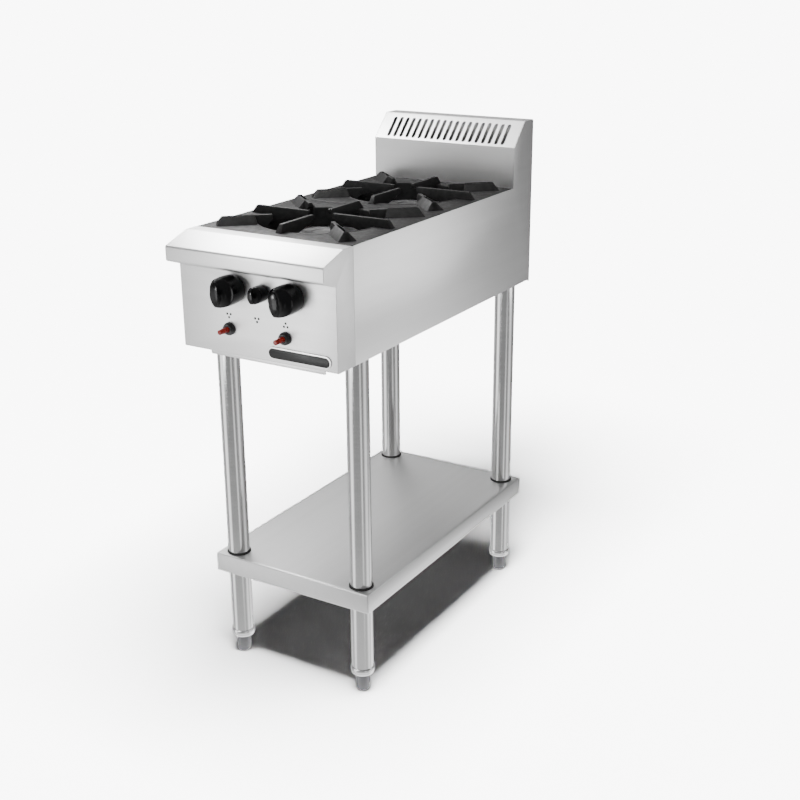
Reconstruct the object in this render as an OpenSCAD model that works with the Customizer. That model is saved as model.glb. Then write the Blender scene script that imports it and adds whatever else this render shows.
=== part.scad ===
// Two-burner open-top gas range on a four-legged stand with an undershelf.
// Sizes are in millimetres. x runs across, y from the operator's side to the back, z up.
// Pieces are drawn with x = 0 in the middle, y = 0 on the front panel's face, z = 0 on the floor.
// Last of all, place() slides the range along y, so that its origin is under its middle.

/* [Body] */
// Outside width of the body
body_w = 300; // [280:1:380]
// Depth from the front panel's face to the rear panel's outer face
body_d = 668; // [650:1:740]
// Height of the body's bottom edge above the floor
body_z = 604; // [480:1:650]
// Height of the sheet sides, from their bottom edge to the worktop
side_h = 189; // [180:1:230]
// Thickness of the stainless sheet
sheet_t = 1.2; // [0.9:0.1:1.6]
// Outer radius of a bend in the sheet
bend_r = 2.2; // [1.8:0.1:4]
// Width of the open seam between two sheets
seam = 0.5; // [0.3:0.1:1]
// Gap left where one piece seats on another
seat = 0.3; // [0.2:0.05:0.4]
// How far the rear panel hangs below the sides
rear_drop = 3; // [0:0.5:6]
// Width of the flanges that stiffen the side panels
side_flange = 15; // [10:1:18]

/* [Front panel and ledge] */
// Depth of the front panel's side returns, up to the seam
front_return = 48; // [40:1:60]
// How far the ledge overhangs the panel
ledge_reach = 32; // [15:1:60]
// Height of the ledge's rounded front edge
ledge_edge = 24; // [15:1:30]
// How far the top of the ledge's edge lies below the worktop
ledge_fall = 17; // [8:1:30]
// How far the underside drops from the ledge's edge to the panel
ledge_under = 11; // [4:1:20]
// Depth at which the ledge's slope ends in the level strip
slope_end = 20.5; // [10:0.5:35]
// Radius of the ledge's rounded edge
nose_r = 4; // [2.5:0.5:8]
// Depth of the flanges at the bottom of the panel and behind the ledge
front_flange = 14; // [8:1:17]

/* [Flue] */
// Distance from the splash face to the rear panel's outer face
flue_d = 78; // [60:1:100]
// Height of the splash face above the worktop
splash_h = 74; // [50:1:120]
// Depth and height of the sloped grille face
grille_rise = 43; // [38:1:60]
// Distance kept between the body's side and the middle of the outermost slot
slot_margin = 25; // [20:1:40]
// Distance between the middles of two slots
slot_pitch = 13.6; // [12:0.1:14]
// Width of one slot
slot_w = 7.5; // [4:0.5:8]
// Length of one slot along the slope
slot_l = 47; // [30:1:48]
// Distance along the slope from the lower bend to the slots
slot_start = 4.5; // [4:0.5:8]

/* [Grates] */
// Thickness of the cast plate
grate_t = 8; // [6:0.5:12]
// Height of the plate's top above the worktop
grate_proud = 0; // [-1:0.5:5]
// Gap between the plate's edge and the sheet beside it
grate_gap = 0.7; // [0.5:0.1:1.5]
// Gap between the two plates
grate_split = 2; // [1:0.5:4]
// Rim of plate left between the round opening and the plate's edge
bowl_rim = 30.65; // [24:0.05:45]
// Depth of the bowl wall below the plate
bowl_h = 24; // [15:1:30]
// Thickness of the bowl wall
bowl_t = 5; // [3:0.5:6]
// Height of the fingers' tops above the plate
finger_h = 13.5; // [6:0.5:16]
// Width of a finger at its top
finger_top_w = 6.4; // [4:0.2:8]
// Width of a finger at its foot
finger_foot_w = 12; // [8:0.5:14]
// Width of a corner finger's foot on the plate
corner_foot_w = 34; // [20:1:40]
// Radius at which the four long fingers end, over the burner
finger_in_r = 24; // [18:1:40]
// How far a corner finger reaches over the opening
corner_lap = 24; // [14:1:40]
// Distance from a long finger's outer foot to the plate's edge
finger_margin = 9; // [6:1:14]
// Distance from a corner finger's outer foot to the plate's corner
corner_margin = 28; // [22:1:40]
// Length of the slope at a finger's outer end
finger_run = 10; // [6:1:14]

/* [Burners] */
// Outer radius of a burner's ring
ring_r = 40; // [34:1:46]
// Thickness of the ring's wall
ring_t = 4; // [3:0.5:5]
// Height of the ring with its ports
ring_h = 18; // [14:1:22]
// Depth of the ring's top below the worktop
ring_drop = 25; // [22:1:34]
// Number of ports round the ring
port_count = 28; // [16:1:36]
// Width of a port
port_w = 1.8; // [1.2:0.1:2.4]
// Height of a port
port_h = 9; // [6:0.5:11]
// Outer radius of the mixing tube
tube_r = 15; // [13:0.5:16]
// Wall of the mixing tube
tube_t = 3; // [2:0.5:4]
// Distance from the panel's face to the mixing tubes' mouths
mouth_y = 68; // [66:1:76]
// Height of the burner cap
cap_h = 6; // [4:0.5:8]
// Radius by which the cap overlaps the ring
cap_lap = 1; // [0:0.5:2]
// Length of an air shutter
shutter_l = 16; // [14:1:22]

/* [Gas train] */
// Place of the left tap, from the middle
left_tap_x = -43; // [-60:1:-40]
// Place of the right tap, from the middle
right_tap_x = 69; // [60:1:78]
// Place of the pilot tap, from the middle
pilot_tap_x = 13; // [8:1:18]
// Height of the taps below the worktop
tap_drop = 79; // [76:1:84]
// Radius of a tap's stem
stem_r = 4; // [3:0.5:5]
// Radius of the pilot tap's stem
pilot_stem_r = 3; // [2:0.5:4]
// Radius of the gas pipe, half-inch pipe
pipe_r = 10.65; // [10:0.05:12]
// Radius of the inlet's half-inch pipe thread
thread_r = 10.48; // [10.48:0.01:10.48]
// Length of the threaded end
thread_l = 18; // [14:1:24]
// How far the inlet stands out of the rear panel
inlet_reach = 32; // [24:1:50]
// Place of the inlet, from the middle
inlet_x = 112; // [104:1:116]
// Height of the inlet above the body's bottom edge
inlet_rise = 46; // [46:1:60]
// Distance from the panel's face to the gas manifold's middle
manifold_y = 32; // [30:1:34]
// Radius of a pilot tube
pilot_r = 2.5; // [2:0.5:3]
// Radial clearance of a part that turns or slides in a bore
running = 0.06; // [0.03:0.01:0.1]

/* [Knobs and igniters] */
// Radius of a burner knob's skirt
knob_r = 24; // [20:0.5:26]
// Length of a burner knob
knob_l = 50; // [40:1:60]
// Height of a burner knob's blade
blade_h = 40; // [30:0.2:42]
// Width of the blade in its middle
blade_mid = 15; // [12:0.5:18]
// Width of the blade at its ends
blade_end = 7.5; // [5:0.5:9]
// Radius of the scoops that leave the blade
scoop_r = 18; // [14:1:22]
// Radius of the pilot knob's skirt
pilot_knob_r = 13.5; // [11:0.5:15]
// Length of the pilot knob
pilot_knob_l = 33; // [26:1:40]
// Height of the pilot knob's blade
pilot_blade_h = 22.6; // [18:0.2:24]
// Place of an igniter, from the middle
igniter_x = 54; // [48:1:60]
// Radius of an igniter's bezel
bezel_r = 10.5; // [9:0.5:13]
// Height of the bezel
bezel_h = 9; // [5:0.5:12]
// Radius of a push button
button_r = 4.5; // [3.5:0.1:5]
// How far a button stands out of its bezel
button_out = 19; // [10:1:22]
// Travel of a button
button_travel = 6; // [4:0.5:8]

/* [Drip tray] */
// Gap between a tray runner and the leg beside it
tray_gap = 3.8; // [3:0.1:20]
// Depth of the trough
tray_h = 19; // [12:1:30]
// Thickness of the tray's sheet
tray_t = 1; // [0.8:0.1:1.2]
// Height of the tray's front lip
lip_h = 13; // [10:1:16]
// How far the front lip stands out beside the trough
lip_wing = 16; // [8:1:20]
// Distance from the panel's face to the lip
lip_y = 21; // [18:1:30]
// Width of the flanges that slide on the runners
tray_flange = 8; // [6:1:9]

/* [Stand] */
// Outer radius of the leg tube
leg_r = 19; // [16:0.5:19]
// Wall of the leg tube
leg_t = 1.5; // [1.2:0.1:2.5]
// Distance from the panel's face to the front legs' axis
leg_front = 84; // [80:1:100]
// Distance from the rear panel's face to the rear legs' axis
leg_back = 63; // [50:1:90]
// How far the legs reach up into the body
leg_in = 5; // [4:1:8]
// Height of the undershelf's top
shelf_z = 201; // [120:1:300]
// Height of the undershelf's turned-down edge
shelf_edge = 35; // [25:1:50]
// How far the undershelf stands out beside the body
shelf_out = 10; // [8:1:60]
// Distance from the legs' axes to the undershelf's front and back edges
shelf_over = 27; // [27:1:40]
// Width of the hem under the undershelf's edge
shelf_hem = 7; // [4:1:7]
// Height of the adjustable foot's body
foot_h = 33; // [26:1:60]
// Radius of the foot
foot_r = 13; // [10:0.5:16]
// Radius of the foot's threaded stud
stud_r = 6; // [5:0.5:8]
// Travel of the foot
foot_travel = 25; // [10:1:25]
// Height of the sleeve over the leg's lower end
sleeve_h = 14; // [10:1:30]
// Wall of that sleeve
sleeve_t = 2.1; // [1.5:0.1:3]

/* [Hidden] */
$fn = 48;
bend_steps = 4;
eps = 0.01;

steel = [0.80, 0.80, 0.81];
steel_side = [0.72, 0.72, 0.73];
tube_steel = [0.84, 0.84, 0.85];
cast = [0.22, 0.22, 0.23];
iron = [0.30, 0.29, 0.28];
black = [0.07, 0.07, 0.08];
red = [0.80, 0.12, 0.10];
brass = [0.72, 0.58, 0.30];
zinc = [0.62, 0.63, 0.65];
dark_foot = [0.35, 0.35, 0.36];
ceramic = [0.92, 0.91, 0.88];
copper = [0.72, 0.45, 0.30];

// Body
half_w = body_w / 2;
inside_x = half_w - sheet_t;
top_z = body_z + side_h;
rear_in = body_d - sheet_t;
mid_y = (body_d + inlet_reach - knob_l) / 2;

// Front panel and ledge
nose_high = top_z - ledge_fall;
nose_low = nose_high - ledge_edge;
panel_top = nose_low - ledge_under;
ledge_outline = [
    [front_return, top_z, bend_r],
    [slope_end, top_z, bend_r],
    [-ledge_reach, nose_high, nose_r],
    [-ledge_reach, nose_low, nose_r],
    [0, panel_top, bend_r],
    [0, body_z, bend_r]
];
baffle_flange = 15;

// Flue
flue_y = body_d - flue_d;
knee_z = top_z + splash_h;
flue_top_y = flue_y + grille_rise;
flue_top_z = knee_z + grille_rise;
slot_count = floor((body_w - 2 * slot_margin) / slot_pitch) + 1;

// Grates and what carries them
grate_z = top_z + grate_proud - grate_t;
bar_z = grate_z - seat;
grate_front = front_return + grate_gap;
grate_back = flue_y - grate_gap;
grate_len = (grate_back - grate_front - grate_split) / 2;
grate_half = inside_x - grate_gap;
bowl_r = grate_len / 2 - bowl_rim;
corner_turn = atan2(grate_len / 2, grate_half);
corner_out_r = norm([grate_half, grate_len / 2]) - corner_margin;
front_centre = grate_front + grate_len / 2;
rear_centre = grate_back - grate_len / 2;
bar_w = 11;
bar_h = 15;
rail_w = 12;
rail_h = 17;
rail_t = 1.5;

// Stand
leg_x = half_w - leg_r - 1.5;
leg_rear = body_d - leg_back;
leg_top = body_z + leg_in;
spigot_disc = 3;
spigot_l = 45;
collar_t = 1.6;
collar_h = 20;
frame_z = leg_top + spigot_disc + 2 * seat;
frame_t = 2.5;
frame_w = 25;
frame_h = 25;
plate_half = 20;
leg_foot_z = foot_h + 3 + seat;
screw_drop = 24;
screw_z = body_z - screw_drop;
grub_r = 3;

// Gas train
tap_z = top_z - tap_drop;
manifold_z = tap_z - 24;
inlet_z = body_z + inlet_rise;
ring_z = top_z - ring_drop;
pipe_t = 2.6;
pilot_aside = 19;
pilot_head_h = 8;
pilot_head_drop = 16;
valve_r = 12;
valve_nose_r = 8.5;
valve_nose_y = sheet_t + seat;
valve_front = 6;
valve_back = manifold_y + 10;
valve_end = manifold_y + 20;
valve_bore_end = manifold_y - 2;
pilot_valve_r = 9;
pilot_valve_back = manifold_y + 12;
pilot_valve_end = manifold_y + 21;
jet_end = valve_end + 11;
knob_cap = 15;
ignition_z = (body_z + manifold_z) / 2;

// Drip tray
tray_top = body_z - 2 * seat;
tray_back = leg_rear - 5;
tray_play = 0.5;
runner_t = 1.2;
runner_start = 22;
runner_flange = 14;
runner_x = leg_x - leg_r - tray_gap - runner_t;
tray_half = runner_x - tray_play - tray_flange;
lip_half = tray_half + lip_wing;
foot_top = tray_top - tray_t - seat;

screw_rows = [for (i = [0:3]) body_z + 30 + i * (flue_top_z - body_z - 60) / 3];
screw_x = half_w - side_flange / 2;
screw_hole_r = 2.2;

function flat(p) = [p.x, p.y];
function unit(v) = v / norm(v);
function left_of(v) = [-v.y, v.x];
function turn(a, b, c) = (b.x - a.x) * (c.y - b.y) - (b.y - a.y) * (c.x - b.x);

// Points of an arc of radius r that rounds the corner b between a and c
function arc(a, b, c, r) =
    let (
        u = unit(a - b),
        w = unit(c - b),
        half = acos(u * w) / 2,
        middle = b + unit(u + w) * r / sin(half),
        first = b + u * r / tan(half) - middle,
        last = b + w * r / tan(half) - middle,
        start = atan2(first.y, first.x),
        sweep = (atan2(last.y, last.x) - start + 540) % 360 - 180
    )
    [for (i = [0:bend_steps]) let (s = start + sweep * i / bend_steps) middle + r * [cos(s), sin(s)]];

function corner(a, b, c) = b[2] > 0 ? arc(flat(a), flat(b), flat(c), b[2]) : [flat(b)];

// Closed outline whose points are [across, up, corner radius]
function rounded(p) =
    let (n = len(p))
    [for (i = [0:n - 1]) each corner(p[(i + n - 1) % n], p[i], p[(i + 1) % n])];

// Outline of a sheet bent along a path of [across, up, outer radius], thick to the path's left
function inner_point(p, i, t) =
    let (
        last = len(p) - 1,
        before = i > 0 ? unit(flat(p[i]) - flat(p[i - 1])) : unit(flat(p[1]) - flat(p[0])),
        after = i < last ? unit(flat(p[i + 1]) - flat(p[i])) : before,
        middle = unit(left_of(before) + left_of(after))
    )
    flat(p[i]) + middle * t / (middle * left_of(before));

function inner_path(p, t) =
    [for (i = [0:len(p) - 1])
        let (
            q = inner_point(p, i, t),
            ends = i == 0 || i == len(p) - 1,
            side = ends ? 0 : sign(turn(p[i - 1], p[i], p[i + 1]))
        )
        [q.x, q.y, ends ? 0 : p[i][2] - side * t]];

function open_path(p) =
    [for (i = [0:len(p) - 1])
        each (i == 0 || i == len(p) - 1 ? [flat(p[i])] : corner(p[i - 1], p[i], p[i + 1]))];

function reversed(p) = [for (i = [len(p) - 1:-1:0]) p[i]];

function sheet(p, t) = concat(open_path(p), reversed(open_path(inner_path(p, t))));

// Slides what is drawn from the panel's frame to the range's own frame
module place() {
    translate([0, -mid_y, 0]) children();
}

// Extrudes an outline given in y and z from x0 to x1
module across(x0, x1) {
    translate([x0, 0, 0]) rotate([90, 0, 90]) linear_extrude(x1 - x0) children();
}

// Extrudes an outline given in x and z from y0 to y1
module along(y0, y1) {
    translate([0, y1, 0]) rotate([90, 0, 0]) linear_extrude(y1 - y0) children();
}

// Box from its lowest corner to its highest
module block(low, high) {
    translate(low) cube(high - low);
}

// Round bar from a to b
module rod(a, b, r) {
    v = b - a;
    translate(a) rotate([0, acos(v.z / norm(v)), atan2(v.y, v.x)]) cylinder(h = norm(v), r = r);
}

// Round bar along y from y0 to y1
module bar_y(x, z, y0, y1, r) {
    translate([x, y0, z]) rotate([-90, 0, 0]) cylinder(h = y1 - y0, r = r);
}

// Round run through a list of points, with ball corners
module run(points, r) {
    for (i = [0:len(points) - 2]) rod(points[i], points[i + 1], r);
    for (i = [1:len(points) - 2]) translate(points[i]) sphere(r);
}

// Puts one child at each of the four legs
module each_leg() {
    for (x = [-leg_x, leg_x], y = [leg_front, leg_rear]) translate([x, y, 0]) children();
}

// Face, ledge, side returns and flanges, folded and welded from one sheet
module front_panel() {
    wrap = concat(
        [[front_return, top_z - front_flange, 0]], ledge_outline, [[front_flange, body_z, 0]]);
    end_cap = concat(ledge_outline, [[front_return, body_z, 0]]);
    color(steel)
    difference() {
        union() {
            across(-inside_x, inside_x) polygon(sheet(wrap, sheet_t));
            for (x = [-half_w, inside_x]) across(x, x + sheet_t) polygon(rounded(end_cap));
        }
        for (x = [left_tap_x, right_tap_x]) panel_hole(x, tap_z, stem_r + 1.5);
        panel_hole(pilot_tap_x, tap_z, pilot_stem_r + 1.5);
        for (x = [-igniter_x, igniter_x]) panel_hole(x, ignition_z, bezel_r - 1.7);
    }
}

module panel_hole(x, z, r) {
    bar_y(x, z, -1, sheet_t + 1, r);
}

// Side wall, with the flue's side in the same sheet
module side_panel() {
    front = front_return + seam;
    back = rear_in - seat;
    color(steel_side)
    difference() {
        union() {
            across(inside_x, half_w) polygon([
                [front, body_z], [front, top_z], [flue_y, top_z], [flue_y, knee_z],
                [flue_top_y, flue_top_z], [back, flue_top_z], [back, body_z]]);
            block([half_w - side_flange, leg_front + plate_half + 6, body_z],
                [inside_x, leg_rear - plate_half - 6, body_z + sheet_t]);
            block([half_w - side_flange, back - sheet_t, body_z],
                [inside_x, back, flue_top_z - sheet_t - 2 * seat]);
            seam_strip(front);
        }
        for (z = screw_rows) bar_y(screw_x, z, back - 4, back + 1, screw_hole_r);
    }
}

// Strip welded behind the seam, on which the front panel's return lies
module seam_strip(front) {
    low = body_z + 22;
    high = panel_top - 16;
    block([inside_x - 1.5, front, low], [inside_x, front + 12, high]);
    block([inside_x - 1.5, front - 14, low], [inside_x - seat, front + eps, high]);
}

module left_side_panel() {
    mirror([1, 0, 0]) side_panel();
}

module right_side_panel() {
    side_panel();
}

// Back wall, screwed to the side panels' flanges
module rear_panel() {
    color(steel_side)
    difference() {
        along(rear_in, body_d)
            polygon([
                [-half_w, body_z - rear_drop], [half_w, body_z - rear_drop],
                [half_w, flue_top_z - sheet_t - seat], [-half_w, flue_top_z - sheet_t - seat]]);
        bar_y(inlet_x, inlet_z, rear_in - 1, body_d + 1, pipe_r + 1.5);
        for (s = [-1, 1], z = screw_rows)
            bar_y(s * screw_x, z, rear_in - 1, body_d + 1, screw_hole_r);
    }
}

// Eight screws with low round heads
module rear_panel_screws() {
    color(zinc)
    for (s = [-1, 1], z = screw_rows) {
        bar_y(s * screw_x, z, rear_in - 7, body_d + seat + eps, screw_hole_r - 0.2);
        translate([s * screw_x, body_d + seat, z]) rotate([-90, 0, 0])
            cylinder(h = 1.8, r1 = 4.2, r2 = 2.8);
    }
}

// Splash face, sloped grille and top, bent from one sheet between the side panels
module flue_cover() {
    path = [
        [body_d, flue_top_z, 0], [flue_top_y, flue_top_z, bend_r], [flue_y, knee_z, bend_r],
        [flue_y, bar_z - bar_h, 0]];
    slope = atan2(flue_top_z - knee_z, flue_top_y - flue_y);
    color(steel)
    difference() {
        across(-inside_x + seat, inside_x - seat) polygon(sheet(path, sheet_t));
        for (i = [0:slot_count - 1])
            translate([(i - (slot_count - 1) / 2) * slot_pitch, flue_y, knee_z])
                rotate([slope, 0, 0]) flue_slot();
    }
}

// Cutter for one round-ended slot, up the slope from the lower bend
module flue_slot() {
    low = slot_start + slot_w / 2;
    high = slot_start + slot_l - slot_w / 2;
    depth = 3 * sheet_t;
    for (y = [low, high]) translate([0, y, -depth]) cylinder(h = 2 * depth, r = slot_w / 2);
    block([-slot_w / 2, low, -depth], [slot_w / 2, high, depth]);
}

// Heat shield behind the controls, whose top flange carries the front grate
module front_baffle() {
    front = front_return + 3;
    path = [
        [front + baffle_flange, bar_z, 0], [front, bar_z, bend_r], [front, tap_z + tube_r + 5, 0]];
    color(steel_side)
    across(-inside_x + seat, inside_x - seat) polygon(sheet(path, sheet_t));
}

// Angle-iron frame in the bottom of the body, to which the legs are bolted
module base_frame() {
    outer = inside_x - seat;
    back = rear_in - sheet_t - 2 * seat - 1;
    front = front_return + 4;
    color(zinc)
    union() {
        for (s = [0, 1]) mirror([s, 0, 0]) {
            block([outer - frame_w, front, frame_z], [outer, back, frame_z + frame_t]);
            block([outer - frame_t, front + 16, frame_z], [outer, back, frame_z + frame_h]);
        }
        for (y = [leg_front, leg_rear]) {
            block([-outer, y - plate_half, frame_z], [outer, y + plate_half, frame_z + frame_t]);
            block([-outer, y - plate_half, frame_z],
                [outer, y - plate_half + frame_t, frame_z + frame_h]);
        }
    }
}

// Turned plugs under the frame, on which the leg tubes are pushed and held by a grub screw
module leg_spigots() {
    color(zinc)
    each_leg() difference() {
        union() {
            translate([0, 0, leg_top + seat]) cylinder(h = spigot_disc, r = leg_r);
            translate([0, 0, body_z - spigot_l])
                cylinder(h = leg_top + seat - body_z + spigot_l, r = leg_r - leg_t - running);
        }
        translate([0, 0, screw_z]) rotate([-90, 0, 0]) cylinder(h = leg_r, r = grub_r);
    }
}

// Four grub screws, each in the rear of its leg
module leg_screws() {
    color(zinc)
    each_leg() translate([0, leg_r + 0.4, screw_z]) rotate([90, 0, 0])
        cylinder(h = 9, r = grub_r - running);
}

module leg() {
    color(tube_steel)
    translate([0, 0, leg_foot_z]) difference() {
        cylinder(h = leg_top - leg_foot_z, r = leg_r);
        translate([0, 0, -1]) cylinder(h = leg_top - leg_foot_z + 2, r = leg_r - leg_t);
        translate([0, 0, screw_z - leg_foot_z]) rotate([-90, 0, 0])
            cylinder(h = leg_r + 1, r = grub_r);
    }
}

module front_left_leg() {
    translate([-leg_x, leg_front, 0]) leg();
}

module front_right_leg() {
    translate([leg_x, leg_front, 0]) leg();
}

module rear_left_leg() {
    translate([-leg_x, leg_rear, 0]) leg();
}

module rear_right_leg() {
    translate([leg_x, leg_rear, 0]) leg();
}

// Angle that carries the cross bars' ends
module grate_rail() {
    outer = inside_x - seat;
    low = bar_z - rail_h;
    color(zinc)
    along(front_return + 20, flue_y - 4)
        polygon([
            [outer - rail_w, low], [outer, low], [outer, bar_z - 1], [outer - rail_t, bar_z - 1],
            [outer - rail_t, low + rail_t], [outer - rail_w, low + rail_t]]);
}

module left_grate_rail() {
    mirror([1, 0, 0]) grate_rail();
}

module right_grate_rail() {
    grate_rail();
}

// Channel from rail to rail, open below
module cross_bar(y0, y1) {
    reach = inside_x - 2 * seat - rail_t;
    color(zinc)
    difference() {
        block([-reach, y0, bar_z - bar_h], [reach, y1, bar_z]);
        block([-reach - 1, y0 + rail_t, bar_z - bar_h - 1], [reach + 1, y1 - rail_t, bar_z - rail_t]);
    }
}

// Carries the facing edges of both grates
module centre_cross_bar() {
    middle = (grate_front + grate_back) / 2;
    cross_bar(middle - bar_w, middle + bar_w);
}

// Carries the rear grate's back edge, against the splash face's foot
module rear_cross_bar() {
    cross_bar(flue_y - seat - bar_w - 3, flue_y - seat);
}

// Channel under the base frame in which the tray's flange slides
module tray_runner() {
    top = frame_z - seat;
    outer = runner_x + runner_t;
    path = [
        [runner_x - tray_flange + 1, foot_top - runner_t, 0], [outer, foot_top - runner_t, bend_r],
        [outer, top, bend_r], [outer - runner_flange, top, 0]];
    color(zinc) along(lip_y + runner_start, tray_back) polygon(sheet(path, runner_t));
}

module left_tray_runner() {
    mirror([1, 0, 0]) tray_runner();
}

module right_tray_runner() {
    tray_runner();
}

// Slides out to the front, under the panel's bottom edge
module drip_tray() {
    front = lip_y + tray_t;
    ramp = front + 38;
    low = tray_top - tray_h;
    lip_low = tray_top - lip_h;
    color(steel)
    union() {
        difference() {
            across(-tray_half, tray_half) polygon([
                [lip_y, tray_top], [lip_y, lip_low], [ramp, low], [tray_back, low],
                [tray_back, tray_top]]);
            across(-tray_half + tray_t, tray_half - tray_t) polygon([
                [front, tray_top + 1], [front, lip_low + tray_t], [ramp, low + tray_t],
                [tray_back - tray_t, low + tray_t], [tray_back - tray_t, tray_top + 1]]);
        }
        block([-lip_half, lip_y, lip_low], [lip_half, front, tray_top]);
        for (s = [0, 1]) mirror([s, 0, 0])
            block([tray_half - eps, lip_y + runner_start + 2, tray_top - tray_t],
                [tray_half + tray_flange, tray_back, tray_top]);
    }
}

// One finger along +x from the opening's middle, drawn from the plate's underside up
module finger(inner, outer) {
    top = grate_t + finger_h;
    profile = rounded([
        [inner, top - 8, 2], [inner, top, 1.5], [outer - finger_run, top, 3],
        [outer, grate_t - 1, 0], [bowl_r + 2, grate_t - 2, 0], [bowl_r + 2, -6, 0],
        [bowl_r - 3, -6, 0]]);
    intersection() {
        along(-finger_foot_w / 2, finger_foot_w / 2) polygon(profile);
        across(inner - 1, outer + 1) polygon(finger_section(finger_foot_w / 2, -7));
    }
}

// Section of a finger, upright up to the plate and then tapered to the finger's top
function finger_section(foot, low) =
    let (start = grate_t - 2, top = grate_t + finger_h, edge = finger_top_w / 2)
    [[-foot, low], [foot, low], [foot, start], [edge, top], [-edge, top], [-foot, start]];

// Broad flanks that a corner finger has on the plate, outside the opening
module flanks(outer) {
    top = grate_t + finger_h;
    intersection() {
        along(-corner_foot_w / 2, corner_foot_w / 2) polygon([
            [bowl_r + 1, 1], [bowl_r + 1, grate_t], [bowl_r + 5, top], [outer - finger_run, top],
            [outer, grate_t - 1], [outer, 1]]);
        across(bowl_r, outer + 1) polygon(finger_section(corner_foot_w / 2, 0));
    }
}

// Cast plate with a round opening, a bowl wall and eight fingers
module grate(middle) {
    plate_corner = 5;
    x = grate_half;
    y = grate_len / 2;
    color(cast)
    translate([0, middle, grate_z]) union() {
        difference() {
            linear_extrude(grate_t) polygon(rounded([
                [-x, -y, plate_corner], [x, -y, plate_corner], [x, y, plate_corner],
                [-x, y, plate_corner]]));
            translate([0, 0, -1]) cylinder(h = grate_t + 2, r = bowl_r, $fn = 96);
        }
        rotate_extrude($fn = 96) polygon([
            [bowl_r, grate_t], [bowl_r, 1], [bowl_r - 4, -bowl_h],
            [bowl_r - 4 + bowl_t, -bowl_h], [bowl_r + bowl_t, 1], [bowl_r + bowl_t, grate_t]]);
        for (s = [0, 180]) rotate(s) finger(finger_in_r, x - finger_margin);
        for (s = [90, 270]) rotate(s) finger(finger_in_r, y - finger_margin - 5);
        for (s = [corner_turn, 180 - corner_turn, 180 + corner_turn, -corner_turn])
            rotate(s) {
                finger(bowl_r - corner_lap, corner_out_r);
                flanks(corner_out_r);
            }
    }
}

module front_grate() {
    grate(front_centre);
}

module rear_grate() {
    grate(rear_centre);
}

// Cast burner: slotted ring, cone, throat and a mixing tube that runs forward beside it
module burner(tap_x, middle) {
    base = ring_z - ring_h;
    cone_h = 17;
    throat_r = tube_r + 3;
    slot_in = ring_r - ring_t - 1;
    color(iron)
    difference() {
        union() {
            translate([0, middle, base]) cylinder(h = ring_h, r = ring_r);
            translate([0, middle, base - cone_h]) cylinder(h = cone_h, r1 = throat_r, r2 = ring_r);
            burner_tube(tap_x, middle, tube_r, throat_r, base - cone_h);
        }
        translate([0, middle, base]) cylinder(h = ring_h + 1, r = ring_r - ring_t);
        translate([0, middle, base - cone_h])
            cylinder(h = cone_h + eps, r1 = throat_r - tube_t, r2 = ring_r - ring_t);
        burner_tube(tap_x, middle, tube_r - tube_t, throat_r - tube_t, base - cone_h + eps);
        bar_y(tap_x, tap_z, mouth_y - 1, mouth_y + 1, tube_r - tube_t);
        translate([0, middle, 0]) for (i = [0:port_count - 1]) rotate(i * 360 / port_count)
            block([slot_in, -port_w / 2, ring_z - port_h], [ring_r + 1, port_w / 2, ring_z + 1]);
        air_windows(tap_x);
    }
}

// Throat and mixing tube as one round run, drawn once for the outside and once for the bore
module burner_tube(tap_x, middle, r, throat_r, top) {
    translate([0, middle, tap_z - r]) cylinder(h = top - tap_z + r, r = throat_r);
    rod([tap_x, middle, tap_z], [0, middle, tap_z], r);
    translate([tap_x, middle, tap_z]) sphere(r);
    bar_y(tap_x, tap_z, mouth_y, middle, r);
}

// Four windows round the mixing tube's mouth and through the shutter on it
module air_windows(tap_x) {
    for (s = [0:90:270])
        translate([tap_x, mouth_y + 3, tap_z]) rotate([0, s, 0])
            block([-5, 0, tube_r - tube_t - 2], [5, shutter_l - 9, tube_r + 5]);
}

module front_burner() {
    burner(left_tap_x, front_centre);
}

module rear_burner() {
    burner(right_tap_x, rear_centre);
}

// Loose cap with a locating rim inside the ring
module burner_cap(middle) {
    r = ring_r + cap_lap;
    color(iron)
    translate([0, middle, ring_z + seat]) rotate_extrude() polygon(rounded([
        [0, 0, 0], [ring_r - ring_t - 3, 0, 0], [ring_r - ring_t - 3, -4, 0],
        [ring_r - ring_t - seat, -4, 0], [ring_r - ring_t - seat, 0, 0], [r, 0, 0],
        [r, 2.5, 1], [r - 7, cap_h, 4], [0, cap_h, 0]]));
}

module front_burner_cap() {
    burner_cap(front_centre);
}

module rear_burner_cap() {
    burner_cap(rear_centre);
}

// Sleeve on the mixing tube's mouth; turning it covers the windows
module air_shutter(tap_x) {
    bore = tube_r + running;
    color(zinc)
    difference() {
        bar_y(tap_x, tap_z, mouth_y - 2, mouth_y - 2 + shutter_l, bore + 1.5);
        bar_y(tap_x, tap_z, mouth_y - seat, mouth_y + shutter_l, bore);
        bar_y(tap_x, tap_z, mouth_y - 3, mouth_y + 1, 7);
        air_windows(tap_x);
    }
}

module front_air_shutter() {
    air_shutter(left_tap_x);
}

module rear_air_shutter() {
    air_shutter(right_tap_x);
}

// Strap across the body under a burner, with the upright that holds its pilot and electrode
module burner_bracket(middle) {
    strap_z = tap_z - tube_r - seat;
    strap_t = 2;
    outer = inside_x - seat;
    near = middle - 12;
    far = middle + 12;
    upright_y = middle - ring_r - 8.8;
    color(zinc)
    difference() {
        union() {
            block([-outer, near, strap_z - strap_t], [outer, far, strap_z]);
            for (s = [0, 1]) mirror([s, 0, 0])
                block([outer - strap_t, near, strap_z - 18], [outer, far, strap_z - strap_t + eps]);
            block([-24, upright_y - strap_t, strap_z - strap_t], [24, near + eps, strap_z]);
            block([-24, upright_y - strap_t, strap_z - eps], [24, upright_y, ring_z - 20]);
        }
        bar_y(pilot_tap_x, tap_z, upright_y - strap_t - 1, upright_y + 1, pilot_r + 0.5);
    }
}

module front_burner_bracket() {
    burner_bracket(front_centre);
}

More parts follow.
